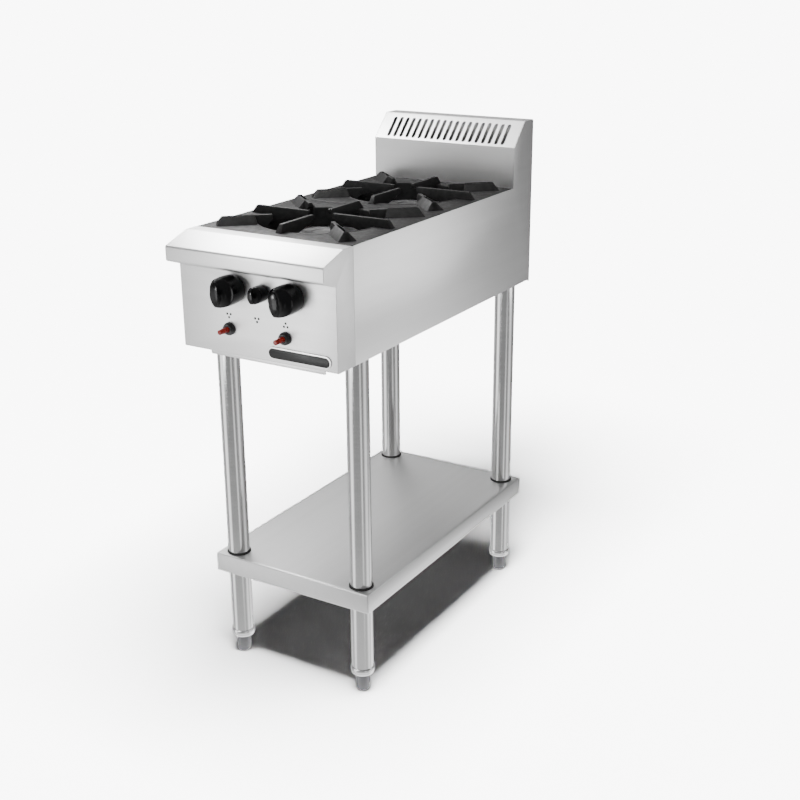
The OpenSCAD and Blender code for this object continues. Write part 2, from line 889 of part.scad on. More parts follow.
module rear_burner_bracket() {
    burner_bracket(rear_centre);
}

// Gas pipe across the front, closed at its left end
module gas_manifold() {
    left = left_tap_x - 32;
    right = inlet_x - 12;
    color(zinc)
    translate([0, manifold_y, manifold_z]) difference() {
        rod([left, 0, 0], [right, 0, 0], pipe_r);
        rod([left + 4, 0, 0], [right + 1, 0, 0], pipe_r - pipe_t);
    }
}

// Pipe from the manifold down and back to the threaded inlet behind the rear panel
module gas_inlet_pipe() {
    plain_end = body_d + inlet_reach - thread_l;
    color(zinc)
    difference() {
        union() {
            run([[inlet_x - 12 + seat, manifold_y, manifold_z], [inlet_x, manifold_y, manifold_z],
                [inlet_x, manifold_y, inlet_z], [inlet_x, plain_end, inlet_z]], pipe_r);
            bar_y(inlet_x, inlet_z, plain_end - eps, body_d + inlet_reach, thread_r);
        }
        bar_y(inlet_x, inlet_z, body_d, body_d + inlet_reach + 1, pipe_r - pipe_t);
    }
}

// Tap that sits on the manifold, with the stem's bore to the front
module gas_valve(x, bore) {
    color(brass)
    difference() {
        union() {
            bar_y(x, tap_z, valve_nose_y, valve_front + 1, valve_nose_r);
            bar_y(x, tap_z, valve_front, valve_back, valve_r);
            bar_y(x, tap_z, valve_back - 1, valve_end, 6.5);
            translate([x, manifold_y, manifold_z + pipe_r + seat])
                cylinder(h = tap_z - manifold_z - pipe_r - seat, r = 7);
        }
        bar_y(x, tap_z, 0, valve_bore_end, bore + running);
    }
}

module left_gas_valve() {
    gas_valve(left_tap_x, stem_r);
}

module right_gas_valve() {
    gas_valve(right_tap_x, stem_r);
}

// Small tap with a block behind it for the two pilot tubes
module pilot_gas_valve() {
    color(brass)
    difference() {
        union() {
            bar_y(pilot_tap_x, tap_z, valve_nose_y, valve_front + 1, valve_nose_r - 2);
            bar_y(pilot_tap_x, tap_z, valve_front, pilot_valve_back, pilot_valve_r);
            block([pilot_tap_x - 6, pilot_valve_back - 1, tap_z - 6],
                [pilot_tap_x + pilot_aside + 6, pilot_valve_end, tap_z + 6]);
            translate([pilot_tap_x, manifold_y, manifold_z + pipe_r + seat])
                cylinder(h = tap_z - manifold_z - pipe_r - seat, r = 6);
        }
        bar_y(pilot_tap_x, tap_z, 0, valve_bore_end, pilot_stem_r + running);
    }
}

// Stem from inside the tap to just short of the bottom of the knob's bore
module valve_stem(x, r, knob_length) {
    color(brass) bar_y(x, tap_z, knob_cap + 1 - knob_length, valve_bore_end - 2, r);
}

module left_valve_stem() {
    valve_stem(left_tap_x, stem_r, knob_l);
}

module right_valve_stem() {
    valve_stem(right_tap_x, stem_r, knob_l);
}

module pilot_valve_stem() {
    valve_stem(pilot_tap_x, pilot_stem_r, pilot_knob_l);
}

// Two jets, one at the back of each burner tap
module injectors() {
    color(brass)
    for (x = [left_tap_x, right_tap_x]) difference() {
        union() {
            bar_y(x, tap_z, valve_end + seat, valve_end + 6, 5.5);
            bar_y(x, tap_z, valve_end + 5, jet_end, 4);
        }
        bar_y(x, tap_z, valve_end, jet_end + 1, 0.9);
    }
}

// Knob drawn outward from the panel: a turned body, scooped on both sides to leave a blade
module knob(x, r, length, blade, mid_w, end_w, scoop, stem) {
    m = mid_w / 2;
    e = end_w / 2;
    h = blade / 2;
    // Distance behind the axis of the circle whose arc is the blade's side
    back = (h * h - m * m + e * e) / (2 * (m - e));
    color(black)
    translate([x, 0, tap_z]) rotate([90, 0, 0]) difference() {
        rotate_extrude() polygon(rounded([
            [0, 0.8, 0], [r - 1, 0.8, 0.8], [r, length * 0.25, length * 0.4],
            [r, length * 0.76, length * 0.6], [h, length, 2], [0, length, 0]]));
        for (s = [0, 180]) rotate(s) translate([-back, 0, length - 2])
            rotate_extrude($fn = 96) translate([back + m + scoop, 0]) circle(scoop);
        translate([0, 0, -1]) cylinder(h = length - knob_cap + 1, r = stem + running);
    }
}

module left_knob() {
    knob(left_tap_x, knob_r, knob_l, blade_h, blade_mid, blade_end, scoop_r, stem_r);
}

module right_knob() {
    knob(right_tap_x, knob_r, knob_l, blade_h, blade_mid, blade_end, scoop_r, stem_r);
}

module pilot_knob() {
    knob(pilot_tap_x, pilot_knob_r, pilot_knob_l, pilot_blade_h, blade_mid * 0.6, blade_end * 0.6,
        scoop_r * 0.6, pilot_stem_r);
}

// Igniter: bezel in front of the panel, threaded body and nut behind it
module igniter(x) {
    bore = button_r + running;
    color(black)
    difference() {
        union() {
            translate([x, -seat, ignition_z]) rotate([90, 0, 0]) rotate_extrude() polygon(rounded([
                [0, 0, 0], [bezel_r, 0, 0], [bezel_r, bezel_h - seat, 2.5], [0, bezel_h - seat, 0]]));
            bar_y(x, ignition_z, -seat - eps, 38, bezel_r - 2);
            bar_y(x, ignition_z, sheet_t + seat, 6, bezel_r + 2);
        }
        bar_y(x, ignition_z, -bezel_h - 1, button_travel + 12, bore);
    }
}

module left_igniter() {
    igniter(-igniter_x);
}

module right_igniter() {
    igniter(igniter_x);
}

module igniter_button(x) {
    color(red)
    translate([x, 11, ignition_z]) rotate([90, 0, 0]) rotate_extrude() polygon(rounded([
        [0, 0, 0], [button_r, 0, 0], [button_r, 11 + bezel_h + button_out, 2],
        [0, 11 + bezel_h + button_out, 0]]));
}

module left_igniter_button() {
    igniter_button(-igniter_x);
}

module right_igniter_button() {
    igniter_button(igniter_x);
}

// Ceramic rod with its wire, standing at the burner's ring
module spark_electrode(middle) {
    y = middle - ring_r - 4.5;
    color(ceramic)
    union() {
        translate([-pilot_tap_x, y, ring_z - 54]) cylinder(h = 38, r = 4);
        translate([-pilot_tap_x, y, ring_z - 17]) cylinder(h = 13, r = 1.2);
    }
}

module front_spark_electrode() {
    spark_electrode(front_centre);
}

module rear_spark_electrode() {
    spark_electrode(rear_centre);
}

module pilot_head(x, y) {
    translate([x, y, ring_z - pilot_head_drop]) cylinder(h = pilot_head_h, r = 4);
}

module front_pilot_tube() {
    x = pilot_tap_x;
    y = front_centre - ring_r - 6;
    color(copper)
    union() {
        run([[x, pilot_valve_end + seat, tap_z], [x, y, tap_z], [x, y, ring_z - pilot_head_drop + 1]],
            pilot_r);
        pilot_head(x, y);
    }
}

module rear_pilot_tube() {
    x = pilot_tap_x;
    aside = x + pilot_aside;
    y = rear_centre - ring_r - 6;
    color(copper)
    union() {
        run([[aside, pilot_valve_end + seat, tap_z], [aside, y, tap_z], [x, y, tap_z],
            [x, y, ring_z - pilot_head_drop + 1]], pilot_r);
        pilot_head(x, y);
    }
}

// Inverted tray of sheet with turned-down, hemmed edges
module undershelf() {
    x = half_w + shelf_out;
    y0 = leg_front - shelf_over;
    y1 = leg_rear + shelf_over;
    low = shelf_z - shelf_edge;
    color(steel)
    difference() {
        translate([0, 0, low]) linear_extrude(shelf_edge) shelf_outline(x, y0, y1, bend_r);
        translate([0, 0, low + sheet_t]) linear_extrude(shelf_edge - 2 * sheet_t)
            shelf_outline(x - sheet_t, y0 + sheet_t, y1 - sheet_t, bend_r - sheet_t);
        translate([0, 0, low - 1]) linear_extrude(shelf_edge / 2)
            shelf_outline(x - shelf_hem, y0 + shelf_hem, y1 - shelf_hem, 1);
        each_leg() translate([0, 0, shelf_z - 5]) cylinder(h = 10, r = leg_r + collar_t + 2 * seat);
    }
}

module shelf_outline(x, y0, y1, r) {
    polygon(rounded([[-x, y0, r], [x, y0, r], [x, y1, r], [-x, y1, r]]));
}

// Clamp collars round the legs, with the flange that the shelf rests on
module shelf_collars() {
    under = shelf_z - sheet_t - seat;
    low = under - collar_h;
    top = shelf_z + 2.5;
    color(black)
    each_leg() difference() {
        union() {
            translate([0, 0, low]) cylinder(h = top - low, r = leg_r + seat + collar_t);
            translate([0, 0, under - 3]) cylinder(h = 3, r = leg_r + 6);
        }
        translate([0, 0, low - 1]) cylinder(h = top - low + 2, r = leg_r + running);
    }
}

// Cup on each leg's lower end, with the foot's threaded boss
module foot_sleeves() {
    color(tube_steel)
    each_leg() difference() {
        translate([0, 0, foot_h]) cylinder(h = sleeve_h, r = leg_r + sleeve_t);
        translate([0, 0, foot_h + 3]) difference() {
            cylinder(h = sleeve_h, r = leg_r + running);
            translate([0, 0, -1]) cylinder(h = sleeve_h - 2, r = stud_r + 5);
        }
        translate([0, 0, foot_h - 1]) cylinder(h = sleeve_h + 2, r = stud_r + running);
    }
}

// Bullet foot on its stud; it turns down to level the range
module foot() {
    color(dark_foot)
    union() {
        rotate_extrude() polygon(rounded([
            [0, 0, 0], [foot_r - 1, 0, 7], [foot_r, foot_h - seat, 0], [0, foot_h - seat, 0]]));
        translate([0, 0, foot_h - seat - eps]) cylinder(h = foot_travel + sleeve_h + 4, r = stud_r);
    }
}

module front_left_foot() {
    translate([-leg_x, leg_front, 0]) foot();
}

module front_right_foot() {
    translate([leg_x, leg_front, 0]) foot();
}

module rear_left_foot() {
    translate([-leg_x, leg_rear, 0]) foot();
}

module rear_right_foot() {
    translate([leg_x, leg_rear, 0]) foot();
}

place() front_panel();
place() left_side_panel();
place() right_side_panel();
place() rear_panel();
place() flue_cover();
place() front_baffle();
place() base_frame();
place() leg_spigots();
place() leg_screws();
place() left_grate_rail();
place() right_grate_rail();
place() centre_cross_bar();
place() rear_cross_bar();
place() left_tray_runner();
place() right_tray_runner();
place() drip_tray();
place() front_grate();
place() rear_grate();
place() front_burner();
place() rear_burner();
place() front_burner_cap();
place() rear_burner_cap();
place() front_burner_bracket();
place() rear_burner_bracket();
place() front_air_shutter();
place() rear_air_shutter();
place() gas_manifold();
place() gas_inlet_pipe();
place() left_gas_valve();
place() right_gas_valve();
place() pilot_gas_valve();
place() left_valve_stem();
place() right_valve_stem();
place() pilot_valve_stem();
place() injectors();
place() left_knob();
place() right_knob();
place() pilot_knob();
place() left_igniter();
place() right_igniter();
place() left_igniter_button();
place() right_igniter_button();
place() front_spark_electrode();
place() rear_spark_electrode();
place() front_pilot_tube();
place() rear_pilot_tube();
place() front_left_leg();
place() front_right_leg();
place() rear_left_leg();
place() rear_right_leg();
place() undershelf();
place() shelf_collars();
place() foot_sleeves();
place() front_left_foot();
place() front_right_foot();
place() rear_left_foot();
place() rear_right_foot();
place() rear_panel_screws();
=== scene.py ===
"""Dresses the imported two-burner open-top gas range in its photographed finishes."""

import logging
import math
from collections.abc import Callable, Iterator, Sequence
from contextlib import contextmanager
from dataclasses import dataclass, field
from enum import Enum

import bmesh
import bpy
from mathutils import Matrix, Vector


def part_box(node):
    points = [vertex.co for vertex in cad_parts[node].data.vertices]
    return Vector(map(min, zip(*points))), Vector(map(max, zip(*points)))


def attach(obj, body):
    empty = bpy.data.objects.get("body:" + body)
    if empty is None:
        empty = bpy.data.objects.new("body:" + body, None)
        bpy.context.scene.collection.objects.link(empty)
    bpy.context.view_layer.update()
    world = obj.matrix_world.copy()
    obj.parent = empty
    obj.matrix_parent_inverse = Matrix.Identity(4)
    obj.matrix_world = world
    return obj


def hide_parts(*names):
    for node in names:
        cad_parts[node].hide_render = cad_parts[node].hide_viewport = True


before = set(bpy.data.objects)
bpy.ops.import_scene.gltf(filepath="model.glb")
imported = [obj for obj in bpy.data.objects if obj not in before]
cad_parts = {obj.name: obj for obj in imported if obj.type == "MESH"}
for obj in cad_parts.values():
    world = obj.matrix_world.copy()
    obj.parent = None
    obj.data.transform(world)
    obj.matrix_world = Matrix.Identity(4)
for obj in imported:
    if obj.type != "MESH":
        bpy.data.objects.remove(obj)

log = logging.getLogger("range")

Triple = tuple[float, float, float]
Flat = tuple[float, float]
Piece = bpy.types.Object
Socket = bpy.types.NodeSocket

# The change from a right-hand piece to its left-hand one.
MIRROR = Matrix.Scale(-1, 4, (1, 0, 0))

# How far an edge or a face may be from the place where it is looked for, in metres.
NEAR = 1e-4

# The least share of an edge's direction, or of a normal, that counts as running along an axis.
ALONG = 0.9


# Modelling tools


class Axis(Enum):
    """A direction of the frame, by its number."""

    X = 0
    Y = 1
    Z = 2

    @property
    def unit(self) -> Vector:
        """The unit vector along this axis."""
        return Vector([1.0 if i == self.value else 0.0 for i in range(3)])


class Part(Enum):
    """What a selection is made of."""

    EDGES = "EDGE"
    FACES = "FACE"


@dataclass(frozen=True)
class Box:
    """The room that a CAD node takes at rest, in metres."""

    low: Vector
    high: Vector

    @classmethod
    def of(cls, node: str) -> "Box":
        """Reads a node's box from the frame."""
        low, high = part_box(node)
        return cls(Vector(low), Vector(high))

    @property
    def centre(self) -> Vector:
        """The middle of the box."""
        return (self.low + self.high) / 2

    @property
    def size(self) -> Vector:
        """The lengths of the box's sides."""
        return self.high - self.low


def deselect_all() -> None:
    """Leaves nothing selected, in object mode."""
    if bpy.context.object and bpy.context.object.mode != "OBJECT":
        bpy.ops.object.mode_set(mode="OBJECT")
    bpy.ops.object.select_all(action="DESELECT")


def activate(piece: Piece) -> None:
    """Selects one piece alone and makes it the active one."""
    deselect_all()
    piece.select_set(True)
    bpy.context.view_layer.objects.active = piece


def named(piece: Piece, name: str) -> Piece:
    """Names a piece and its mesh."""
    piece.name = name
    piece.data.name = name
    return piece


def settle(piece: Piece) -> None:
    """Moves a piece's place, turn and size into its mesh."""
    activate(piece)
    bpy.ops.object.transform_apply(location=True, rotation=True, scale=True)


@contextmanager
def editing(piece: Piece, whole: bool = False) -> Iterator[None]:
    """Holds a piece in edit mode, with nothing or the whole of it selected at first."""
    activate(piece)
    bpy.ops.object.mode_set(mode="EDIT")
    bpy.ops.mesh.select_all(action="SELECT" if whole else "DESELECT")
    yield
    bpy.ops.object.mode_set(mode="OBJECT")


def pick(piece: Piece, part: Part, test: Callable[[Vector, Vector], bool]) -> None:
    """Selects the edges or faces that pass a test, in edit mode.

    Args:
        piece: The piece in edit mode.
        part: What to select.
        test: Given the place and the normal (for an edge, its direction), says yes or no.
    """
    bpy.ops.mesh.select_mode(type=part.value)
    bpy.ops.mesh.select_all(action="DESELECT")
    shape = bmesh.from_edit_mesh(piece.data)
    shape.normal_update()
    if part is Part.EDGES:
        ends = [(edge, *(v.co for v in edge.verts)) for edge in shape.edges]
        found = [edge for edge, a, b in ends if test((a + b) / 2, (b - a).normalized())]
    else:
        found = [face for face in shape.faces if test(face.calc_center_median(), face.normal)]
    for item in found:
        item.select_set(True)
    shape.select_flush_mode()
    bmesh.update_edit_mesh(piece.data)


def pull_edges(by: Sequence[float]) -> None:
    """Extrudes the selected edges and moves the new ones."""
    bpy.ops.mesh.extrude_edges_move(TRANSFORM_OT_translate={"value": by})


def modify(piece: Piece, kind: str, **settings: object) -> None:
    """Adds a modifier of one kind, sets it and applies it."""
    activate(piece)
    bpy.ops.object.modifier_add(type=kind)
    modifier = piece.modifiers[-1]
    for key, value in settings.items():
        setattr(modifier, key, value)
    bpy.ops.object.modifier_apply(modifier=modifier.name)


def thicken(piece: Piece, thickness: float) -> None:
    """Gives a surface its thickness, on the inner side."""
    modify(piece, "SOLIDIFY", thickness=thickness, offset=-1.0, use_even_offset=True)


def smooth(piece: Piece, angle: float = 32.0) -> None:
    """Shades a piece smooth, apart from edges sharper than an angle in degrees."""
    activate(piece)
    bpy.ops.object.shade_smooth_by_angle(angle=math.radians(angle))


def soften(piece: Piece, width: float, segments: int = 2, angle: float = 35.0) -> None:
    """Rounds a piece's sharp edges and shades it smooth between them.

    Args:
        piece: The piece to round.
        width: Width of the rounding.
        segments: Steps of the rounding.
        angle: Edges sharper than this, in degrees, are rounded.
    """
    modify(
        piece, "BEVEL", width=width, segments=segments, limit_method="ANGLE",
        angle_limit=math.radians(angle), use_clamp_overlap=True,
    )
    smooth(piece)


def rounded(corners: Sequence[Triple], closed: bool = True, steps: int = 5) -> list[Flat]:
    """Rounds the corners of a flat line.

    Args:
        corners: Points as (across, up, radius).
        closed: Whether the line runs back to its first point.
        steps: Steps in each rounded corner.

    Returns:
        The points of the line.
    """
    points: list[Flat] = []
    count = len(corners)
    for i, (across, up, radius) in enumerate(corners):
        if radius <= 0 or (not closed and i in (0, count - 1)):
            points.append((across, up))
            continue
        here = Vector((across, up))
        back = (Vector(corners[i - 1][:2]) - here).normalized()
        ahead = (Vector(corners[(i + 1) % count][:2]) - here).normalized()
        half = math.acos(max(-1.0, min(1.0, back.dot(ahead)))) / 2
        middle = here + (back + ahead).normalized() * radius / math.sin(half)
        first = here + back * radius / math.tan(half) - middle
        last = here + ahead * radius / math.tan(half) - middle
        start = math.atan2(first.y, first.x)
        sweep = (math.atan2(last.y, last.x) - start + math.pi) % (2 * math.pi) - math.pi
        for step in range(steps + 1):
            at = start + sweep * step / steps
            points.append((middle.x + radius * math.cos(at), middle.y + radius * math.sin(at)))
    return points


def stadium(centre: Flat, half_length: float, radius: float, steps: int = 10) -> list[Flat]:
    """Points of a bar with round ends, long in its first direction."""
    x, y = centre
    reach = half_length - radius
    points: list[Flat] = []
    for side, start in ((1, -90), (-1, 90)):
        for step in range(steps + 1):
            at = math.radians(start + 180 * step / steps)
            points.append((x + side * reach + radius * math.cos(at), y + radius * math.sin(at)))
    return points


def lift(point: Flat, axis: Axis, level: float) -> Vector:
    """Puts a flat point on the plane across an axis: (y, z), (x, z) or (x, y)."""
    values = list(point)
    values.insert(axis.value, level)
    return Vector(values)


def trace(name: str, points: Sequence[Vector], fill: bool = False) -> Piece:
    """Draws a line of edges from point to point by extruding one vertex.

    Args:
        name: The new piece's name.
        points: The places of the vertices, in order.
        fill: Whether the line is closed and filled with a face.

    Returns:
        The new piece.
    """
    deselect_all()
    bpy.ops.mesh.primitive_plane_add(size=0.001, location=points[0])
    piece = named(bpy.context.object, name)
    settle(piece)
    with editing(piece, whole=True):
        bpy.ops.mesh.select_mode(type="VERT")
        bpy.ops.mesh.merge(type="CENTER")
        bpy.ops.mesh.select_all(action="SELECT")
        for here, there in zip(points, points[1:]):
            bpy.ops.mesh.extrude_vertices_move(TRANSFORM_OT_translate={"value": there - here})
        if fill:
            bpy.ops.mesh.select_all(action="SELECT")
            bpy.ops.mesh.edge_face_add()
    return piece


def turn_outwards(piece: Piece) -> None:
    """Merges a closed shape's doubles and points its faces outwards."""
    with editing(piece, whole=True):
        bpy.ops.mesh.remove_doubles(threshold=1e-6)
        bpy.ops.mesh.normals_make_consistent(inside=False)


def flip(piece: Piece) -> None:
    """Points all of a piece's faces the other way."""
    with editing(piece, whole=True):
        bpy.ops.mesh.flip_normals()


def plate(name: str, outline: Sequence[Flat], axis: Axis, low: float, high: float) -> Piece:
    """Makes a flat plate from its outline.

    Args:
        name: The new piece's name.
        outline: Points across the axis.
        axis: The plate's thickness runs along this axis.
        low: Where the thickness starts.
        high: Where it ends.

    Returns:
        The new piece, closed, with its faces outwards.
    """
    piece = trace(name, [lift(p, axis, low) for p in outline], fill=True)
    with editing(piece, whole=True):
        pull = {"value": axis.unit * (high - low)}
        bpy.ops.mesh.extrude_region_move(TRANSFORM_OT_translate=pull)
    turn_outwards(piece)
    return piece


def block(name: str, low: Sequence[float], high: Sequence[float]) -> Piece:
    """Makes a block from its lowest corner to its highest, for shaping."""
    deselect_all()
    low, high = Vector(low), Vector(high)
    bpy.ops.mesh.primitive_cube_add(size=1, location=(low + high) / 2, scale=high - low)
    piece = named(bpy.context.object, name)
    settle(piece)
    return piece


def strip(
    name: str, path: Sequence[Flat], low: float, high: float, sheet: float, outward: Triple
) -> Piece:
    """Makes a bent sheet, straight along X, by pulling a line of edges across.

    Args:
        name: The new piece's name.
        path: The sheet's outer line, as (y, z).
        low: Where it starts.
        high: Where it ends.
        sheet: Thickness of the sheet, on the inner side of the line.
        outward: Roughly the direction that the first stretch faces.

    Returns:
        The new piece, with its thickness.
    """
    piece = trace(name, [lift(p, Axis.X, low) for p in path])
    with editing(piece, whole=True):
        bpy.ops.mesh.select_mode(type="EDGE")
        bpy.ops.mesh.select_all(action="SELECT")
        pull_edges(Axis.X.unit * (high - low))
        bpy.ops.mesh.select_all(action="SELECT")
        bpy.ops.mesh.normals_make_consistent(inside=False)
    first = min(piece.data.polygons, key=lambda f: (f.center.yz - Vector(path[0])).length)
    if first.normal.dot(Vector(outward)) < 0:
        flip(piece)
    thicken(piece, sheet)
    return piece


def turned(
    name: str, profile: Sequence[Flat], at: Sequence[float] = (0, 0, 0), axis: Axis = Axis.Z,
    back: bool = False, steps: int = 64, ring: bool = False,
) -> Piece:
    """Turns a profile round an axis, as on a lathe.

    Args:
        name: The new piece's name.
        profile: Points as (radius, distance along the axis).
        at: Where the distance is 0.
        axis: The axis to turn round, Z or Y.
        back: Whether the distance runs against Y.
        steps: Steps in a full turn.
        ring: Whether the profile closes on itself, as for a tube.

    Returns:
        The new piece, closed, with its faces outwards.
    """
    line = [Vector((r, 0, h)) for r, h in profile]
    piece = trace(name, line + line[:1] if ring else line)
    with editing(piece, whole=True):
        bpy.ops.mesh.spin(steps=steps, angle=2 * math.pi, center=(0, 0, 0), axis=(0, 0, 1))
    turn_outwards(piece)
    if axis is Axis.Y:
        piece.rotation_euler = (math.pi / 2 if back else -math.pi / 2, 0, 0)
    piece.location = at
    settle(piece)
    return piece


def rod_cutter(at: Sequence[float], radius: float, length: float, axis: Axis) -> Piece:
    """Makes a round cutter centred on a point, along an axis."""
    half = length / 2
    profile = [(0, -half), (radius, -half), (radius, half), (0, half)]
    return turned("cutter", profile, at, axis, steps=48)


def joined(name: str, pieces: Sequence[Piece]) -> Piece:
    """Joins pieces into one, under a name."""
    deselect_all()
    for piece in pieces:
        piece.select_set(True)
    bpy.context.view_layer.objects.active = pieces[0]
    if len(pieces) > 1:
        bpy.ops.object.join()
    return named(bpy.context.view_layer.objects.active, name)


def carve(piece: Piece, cutters: Sequence[Piece]) -> None:
    """Cuts the shape of some cutters, which don't touch, out of a piece."""
    cutter = joined("cutter", cutters)
    modify(piece, "BOOLEAN", operation="DIFFERENCE", solver="EXACT", object=cutter)
    bpy.data.objects.remove(cutter)


def copied(piece: Piece, name: str, change: Matrix) -> Piece:
    """Copies a piece with its own mesh, changes it and keeps its faces outwards."""
    activate(piece)
    bpy.ops.object.duplicate(linked=False)
    copy = named(bpy.context.object, name)
    copy.matrix_world = change
    settle(copy)
    if change.determinant() < 0:
        flip(copy)
    return copy


def stamped(piece: Piece, places: Sequence[Matrix]) -> list[Piece]:
    """Copies a piece to some places and drops the first."""
    copies = [copied(piece, piece.name, place) for place in places]
    bpy.data.objects.remove(piece)
    return copies


# Finishes


def node(
    tree: bpy.types.NodeTree, kind: str, inputs: dict[str | int, object], **settings: str
) -> bpy.types.Node:
    """Adds a shader node.

    Args:
        tree: The nodes that it joins.
        kind: Blender's name for it, without its first word.
        inputs: A value, or a socket to link, for each input's name or number.
        settings: The node's own settings.

    Returns:
        The new node.
    """
    made = tree.nodes.new(f"ShaderNode{kind}")
    for key, value in settings.items():
        setattr(made, key, value)
    for key, value in inputs.items():
        if isinstance(value, Socket):
            tree.links.new(value, made.inputs[key])
        else:
            made.inputs[key].default_value = value
    return made


class Grain(Enum):
    """The direction that a brushed surface is brushed in, as a stretch of its pattern."""

    X = (0.012, 1.0, 1.0)
    Y = (1.0, 0.012, 1.0)


class Recipe:
    """A material while its nodes are being wired."""

    def __init__(self, name: str, **constants: float) -> None:
        """Starts a material with one main shader.

        Args:
            name: The material's name.
            constants: Values of the shader's own sockets, with underscores for blanks.
        """
        self.material = bpy.data.materials.new(name)
        self.material.use_nodes = True
        self.tree = self.material.node_tree
        self.tree.nodes.clear()
        values = {key.replace("_", " "): value for key, value in constants.items()}
        self.shader = node(self.tree, "BsdfPrincipled", values)
        self.output = node(self.tree, "OutputMaterial", {"Surface": self.shader.outputs["BSDF"]})
        self.place = node(self.tree, "TexCoord", {}).outputs["Object"]

    def stretched(self, stretch: Triple) -> Socket:
        """The place on the piece, with its axes stretched."""
        return node(self.tree, "Mapping", {"Scale": stretch, "Vector": self.place}).outputs[0]

    def noise(
        self, scale: float, stretch: Triple = (1, 1, 1), detail: float = 3.0, rough: float = 0.5
    ) -> Socket:
        """A cloudy pattern from 0 to 1.

        Args:
            scale: Its fineness, in patches to a metre.
            stretch: Fineness along each axis against the others.
            detail: How many finer layers it has.
            rough: How strong the finer layers are.

        Returns:
            The pattern's socket.
        """
        inputs = {"Vector": self.stretched(stretch), "Scale": scale}
        inputs |= {"Detail": detail, "Roughness": rough}
        return node(self.tree, "TexNoise", inputs).outputs["Fac"]

    def cells(self, scale: float) -> Socket:
        """A pattern of cells, each with its own grey from 0 to 1."""
        inputs = {"Vector": self.stretched((1, 1, 1)), "Scale": scale}
        cells = node(self.tree, "TexVoronoi", inputs)
        return node(self.tree, "SeparateColor", {"Color": cells.outputs["Color"]}).outputs["Red"]

    def tint(self, source: Socket, dark: Triple, light: Triple) -> None:
        """Colours the shader between two colours, by a pattern."""
        ramp = node(self.tree, "ValToRGB", {"Fac": source})
        for stop, place, colour in zip(ramp.color_ramp.elements, (0.3, 0.7), (dark, light)):
            stop.position = place
            stop.color = (*colour, 1)
        self.tree.links.new(ramp.outputs["Color"], self.shader.inputs["Base Color"])

    def roughness(self, source: Socket, low: float, high: float) -> None:
        """Lets the middle half of a pattern set the shader's roughness."""
        spread = {"Value": source, "From Min": 0.25, "From Max": 0.75}
        spread = node(self.tree, "MapRange", spread | {"To Min": low, "To Max": high})
        self.tree.links.new(spread.outputs["Result"], self.shader.inputs["Roughness"])

    def relief(self, *layers: tuple[Socket, float]) -> None:
        """Raises the surface by patterns, each with its height in metres."""
        inputs: dict[str, object] = {"Strength": 1.0}
        for source, height in layers:
            bump = node(self.tree, "Bump", inputs | {"Distance": height, "Height": source})
            inputs["Normal"] = bump.outputs["Normal"]
        self.tree.links.new(inputs["Normal"], self.shader.inputs["Normal"])


def grey(level: float, warmth: float = 0.0) -> Triple:
    """A grey, a little warm or cool."""
    return (level * (1 + warmth), level, level * (1 - warmth))


class Finish:
    """A finish that wires its material once and keeps it."""

    made: dict["Finish", bpy.types.Material] = {}

    def wire(self) -> Recipe:
        """Wires the material's nodes."""
        raise NotImplementedError

    @property
    def material(self) -> bpy.types.Material:
        """The finish's material, made when it is first asked for."""
        if self not in Finish.made:
            Finish.made[self] = self.wire().material
        return Finish.made[self]


@dataclass(frozen=True)
class BrushedSteel(Finish):
    """Stainless sheet, brushed in one direction."""

    grain: Grain
    tone: float = 0.60
    rough: float = 0.40

    def wire(self) -> Recipe:
        """Fine streaks along the grain, over broad cloudy patches."""
        recipe = Recipe(f"brushed_steel_{self.grain.name.lower()}", Metallic=1.0)
        streaks = recipe.noise(620.0, self.grain.value, 4.0, 0.65)
        broad = recipe.noise(60.0, self.grain.value, 2.0)
        recipe.tint(broad, grey(self.tone * 0.98), grey(self.tone * 1.02))
        recipe.roughness(streaks, self.rough - 0.05, self.rough + 0.05)
        recipe.relief((streaks, 0.000004))
        return recipe


@dataclass(frozen=True)
class TubeSteel(Finish):
    """Polished stainless tube, with fine rings from its polishing."""

    tone: float = 0.66
    rough: float = 0.17

    def wire(self) -> Recipe:
        """Faint rings round the tube and a soft cloud along it."""
        recipe = Recipe("polished_tube_steel", Metallic=1.0)
        rings = recipe.noise(420.0, (0.03, 0.03, 1.0), 3.0, 0.6)
        cloud = recipe.noise(14.0, detail=2.0)
        recipe.tint(cloud, grey(self.tone * 0.96), grey(self.tone * 1.04))
        recipe.roughness(rings, self.rough - 0.05, self.rough + 0.06)
        recipe.relief((rings, 0.000006))
        return recipe


@dataclass(frozen=True)
class ZincSteel(Finish):
    """Galvanised sheet with its faint spangle."""

    tone: float = 0.42

    def wire(self) -> Recipe:
        """Flat crystals of slightly different grey."""
        recipe = Recipe("zinc_coated_steel", Metallic=0.9)
        haze = recipe.noise(45.0)
        dark, light = grey(self.tone * 0.86, -0.02), grey(self.tone * 1.12, -0.02)
        recipe.tint(recipe.cells(160.0), dark, light)
        recipe.roughness(haze, 0.38, 0.56)
        recipe.relief((haze, 0.00005))
        return recipe


@dataclass(frozen=True)
class CastIron(Finish):
    """Black cast iron, enamelled or left raw."""

    name: str = "enamelled_cast_iron"
    tone: float = 0.019
    rough: float = 0.55
    grit: float = 0.00016
    shine: float = 0.12

    def wire(self) -> Recipe:
        """Sand-cast grit under a dull skin."""
        recipe = Recipe(self.name, Metallic=0.0, Specular_IOR_Level=self.shine)
        grit = recipe.noise(650.0, detail=4.0, rough=0.6)
        lumps = recipe.noise(90.0, detail=2.0)
        recipe.tint(lumps, grey(self.tone * 0.75), grey(self.tone * 1.3, 0.01))
        recipe.roughness(lumps, self.rough - 0.10, self.rough + 0.12)
        recipe.relief((lumps, self.grit * 2.5), (grit, self.grit))
        return recipe


